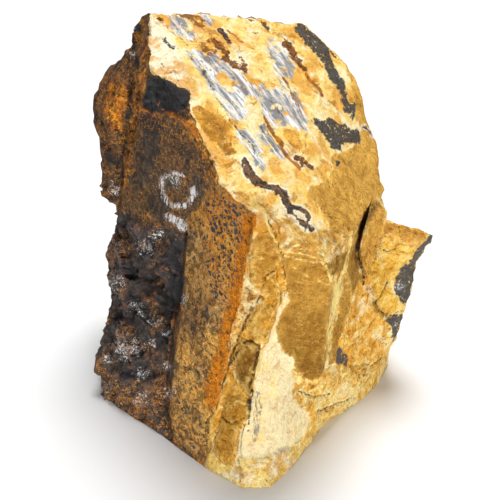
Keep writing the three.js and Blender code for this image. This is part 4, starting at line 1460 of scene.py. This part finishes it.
# The slab's spots: small blue-black cells with rust between them
bend = node("ShaderNodeTexNoise")
put(bend, Vector=here, Scale=0.7, Detail=3.0)
bentPlace = node("ShaderNodeVectorMath", operation="ADD")
plug(bentPlace, 0, here)
plug(bentPlace, 1, scaled(bend.outputs["Color"], 2.4))
cellWall = voronoi(bentPlace.outputs[0], 0.60, "DISTANCE_TO_EDGE")
cellMark = mark("cells")
cellPlace = plus(grain["cellZone"], centred(cellMark, 0.16))
cellMask = times(span(cellWall, 0.12, 0.19), span(cellPlace, 0.50, 0.54), mark("slab"))
cellTone = blend(cut("fine", 0.45, 0.6), tone["cellInk"], tone["cellGrey"])
colour = lay(colour, cellMask, 0.92, cellTone)
colour = lay(colour, times(span(cellWall, 0.08, 0.02), cellMark), 0.85, "cellWall")

# Pits in the dark stone, and the orange band beside the edge
colour = stained(colour, "pit", crust)
bandHue = blend(cut("sand", 0.44, 0.56), tone["bandDeep"], tone["bandBright"])
colour = lay(colour, times(mark("band"), cut("band", 0.40, 0.50)), 0.85, bandHue)
colour = stained(colour, "bandSpot", mark("band"))
colour = drawn(colour, "veinLine", crust)

# Painted glints on the dark stone, partly pale crystals
glintMark = mark("glint")
glintShift = times(calc("SUBTRACT", glintMark, 1.0), 0.13)
glintMask = times(
    span(plus(grain["glint"], glintShift), 0.50, 0.54), span(glintMark, 0.0, 0.2),
    cut("glintBreak", 0.44, 0.50))
colour = blend(glintMask, colour, tone["crystalGlint"])
ringMask = times(sharpField("ring", 16.0, "glint"), cut("ringBreak", 0.44, 0.50))
colour = lay(colour, ringMask, 0.95, "ring")

# Grey-white fibrous streaks of the top, with brown threads beside them
fibreMark = mark("fibre")
fibreGrain = plus(times(grain["wideStreak"], 0.55), times(grain["edge"], 0.45))
fibreMask = times(sharpField("white", 20.0, fibreGrain, 0.9), cut("fibreZone", 0.40, 0.47))
fibreTone = blend(cut("wideStreak", 0.42, 0.60), tone["fibreGrey"], tone["fibreWhite"])
fibreTone = lay(fibreTone, cut("streak", 0.55, 0.62), 0.7, "fibreDark")
fibreTone = lay(fibreTone, cut("soft", 0.54, 0.66), 0.75, "fibreCream")
fibreLine = times(thread("fibreLine"), cut("broad", 0.38, 0.46))
fibreTone = lay(fibreTone, fibreLine, 0.85, "fibreLine")
colour = lay(colour, fibreMask, 0.93, fibreTone)
brownZone = times(fibreMark, cut("brownZone", 0.5, 0.58))
colour = lay(colour, times(thread("brownStreak"), brownZone), 0.7, "brownStreak")
colour = drawn(colour, "fineLine")
# Painted highlight along the arrises, partly wear
colour = drawn(colour, "wornHighlightLine", pale)

# Veins, with a broken pale rim
inkMark = mark("inkVein")
halo = plus(calc("MAXIMUM", inkMark, mark("brownVein")), centred(grain["edge"], 9.0))
haloMask = times(span(halo, -2.6, -1.0), fibreMark, cut("blotch", 0.56, 0.46))
colour = lay(colour, haloMask, 0.6, "halo")
rustTone = blend(cut("soft", 0.38, 0.62), tone["rustLight"], tone["rustDark"])
brownTone = blend(cut("sand", 0.44, 0.56), tone["brownDark"], tone["brownLight"])
inkCore = plus(inkMark, centred(grain["soft"], 8.0))
inkFlecks = times(span(inkCore, 0.6, 1.6), cut("inkFleck", 0.48, 0.54))
inkTone = blend(inkFlecks, tone["ink"], tone["inkBrown"])
inkTone = lay(inkTone, cut("sand", 0.60, 0.66), 0.8, "inkPale")
rustPatch = times(sharpField("rustPatch", 18.0), cut("soft", 0.42, 0.52))
colour = lay(colour, rustPatch, 0.9, rustTone)
colour = lay(colour, sharpField("rustVein", 5.0), 0.92, rustTone)
colour = lay(colour, sharpField("brownVein", 13.0), 0.95, brownTone)
colour = lay(colour, sharpField("inkVein", 10.0), 0.96, inkTone)

# Black coating with ochre flecks in it, and glints on the coating
coatFlecks = times(cut("coatFleck", 0.59, 0.62), 0.9)
coatMask = times(sharpField("black", 10.0), calc("SUBTRACT", 1.0, coatFlecks))
coatTone = blend(cut("fine", 0.35, 0.65), tone["coatDark"], tone["coatGrey"])
colour = lay(colour, coatMask, 0.97, coatTone)
colour = blend(times(glintMask, coatMask), colour, tone["coatGlint"])

# Cracks, and upright grey fibres in the pale patch
colour = drawn(colour, "crackLine", pale)
slitMask = times(sharpField("slit", 8.0), cut("slitBreak", 0.44, 0.54))
colour = lay(colour, slitMask, 0.85, "slit")

# Relief finer than the mesh, then gloss
finish = {
    "fine": 0.6, "soft": 1.6, "sand": 0.12, "pores": 0.8, "streaks": 0.5, "bumpHeight": 0.0006,
    "roughLow": 0.74, "roughHigh": 0.90, "glossSmooths": 0.46, "glintGloss": 0.9,
    "shine": 0.5, "leastShine": 0.08,
}
fineRelief = plus(times(grain["fine"], finish["fine"]), times(grain["soft"], finish["soft"]))
fineRelief = plus(fineRelief, times(grain["sand"], mark("ochreEdge"), finish["sand"]))
fineRelief = calc("SUBTRACT", fineRelief, times(poreMask, finish["pores"]))
fineRelief = plus(fineRelief, times(grain["streak"], fibreMark, finish["streaks"]))
fineRelief = times(fineRelief, plus(times(grainMark, 0.7), 0.3))
bump = node("ShaderNodeBump")
put(bump, Height=fineRelief, Distance=finish["bumpHeight"], Strength=1.0)
glossAmount = calc("MAXIMUM", mark("gloss"), times(glintMask, finish["glintGloss"]))
roughness = span(grain["soft"], 0.3, 0.7, finish["roughLow"], finish["roughHigh"])
roughness = calc("SUBTRACT", roughness, times(glossAmount, finish["glossSmooths"]))
shine = plus(times(glossAmount, finish["shine"]), finish["leastShine"])
shader = node("ShaderNodeBsdfPrincipled")
put(shader, Base_Color=colour, Roughness=roughness, Specular_IOR_Level=shine)
plug(shader, "Normal", bump.outputs[0])
output = node("ShaderNodeOutputMaterial")
plug(output, "Surface", shader.outputs[0])
rockMesh.materials.append(stone)
print("material ready", len(stoneTree.nodes), "nodes")

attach(rock, "root")
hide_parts("ilvaite_rock")

# Floor, light and camera
stageLook = {
    "floorSize": 6.0, "floorColour": (0.93, 0.93, 0.93, 1), "floorRoughness": 0.9,
    "skyColour": (1.0, 1.0, 1.0, 1), "sky": 0.17, "lens": 120, "sensor": 36,
}
lamps = {
    "overhead": {"place": (0.05, 0.28, 0.68), "aim": (0, 0, 0.03), "size": 0.32, "power": 5.8},
    "frontFill": {"place": (0.14, -0.90, 0.09), "aim": (0, 0, 0.04), "size": 0.30, "power": 8.6},
}

bpy.ops.mesh.primitive_plane_add(size=stageLook["floorSize"], location=(0, 0, 0))
floor = bpy.context.object
floor.name = "floor"
floorPaper = bpy.data.materials.new("floorPaper")
floorPaper.use_nodes = True
floorShader = floorPaper.node_tree.nodes["Principled BSDF"]
floorShader.inputs["Base Color"].default_value = stageLook["floorColour"]
floorShader.inputs["Roughness"].default_value = stageLook["floorRoughness"]
floor.data.materials.append(floorPaper)

world = bpy.data.worlds.new("softSky")
world.use_nodes = True
sky = world.node_tree.nodes["Background"]
sky.inputs["Color"].default_value = stageLook["skyColour"]
sky.inputs["Strength"].default_value = stageLook["sky"]
bpy.context.scene.world = world


def areaLight(name, place, aim, size, power):
    lamp = bpy.data.lights.new(name, "AREA")
    lamp.shape = "DISK"
    lamp.size = size
    lamp.energy = power
    holder = bpy.data.objects.new(name, lamp)
    holder.location = place
    holder.rotation_euler = (Vector(aim) - Vector(place)).to_track_quat("-Z", "Y").to_euler()
    bpy.context.scene.collection.objects.link(holder)


for name, look in lamps.items():
    areaLight(name, **look)

cameraData = bpy.data.cameras.new("photoCamera")
cameraData.lens = stageLook["lens"]
cameraData.sensor_width = stageLook["sensor"]
camera = bpy.data.objects.new("photoCamera", cameraData)
camera.location = Vector(eyePoint / 1000)
camera.rotation_euler = (math.pi / 2 - photoView["down"], 0, 0)
bpy.context.scene.collection.objects.link(camera)
bpy.context.scene.camera = camera
bpy.context.scene.view_settings.view_transform = "Standard"

print("scene ready")
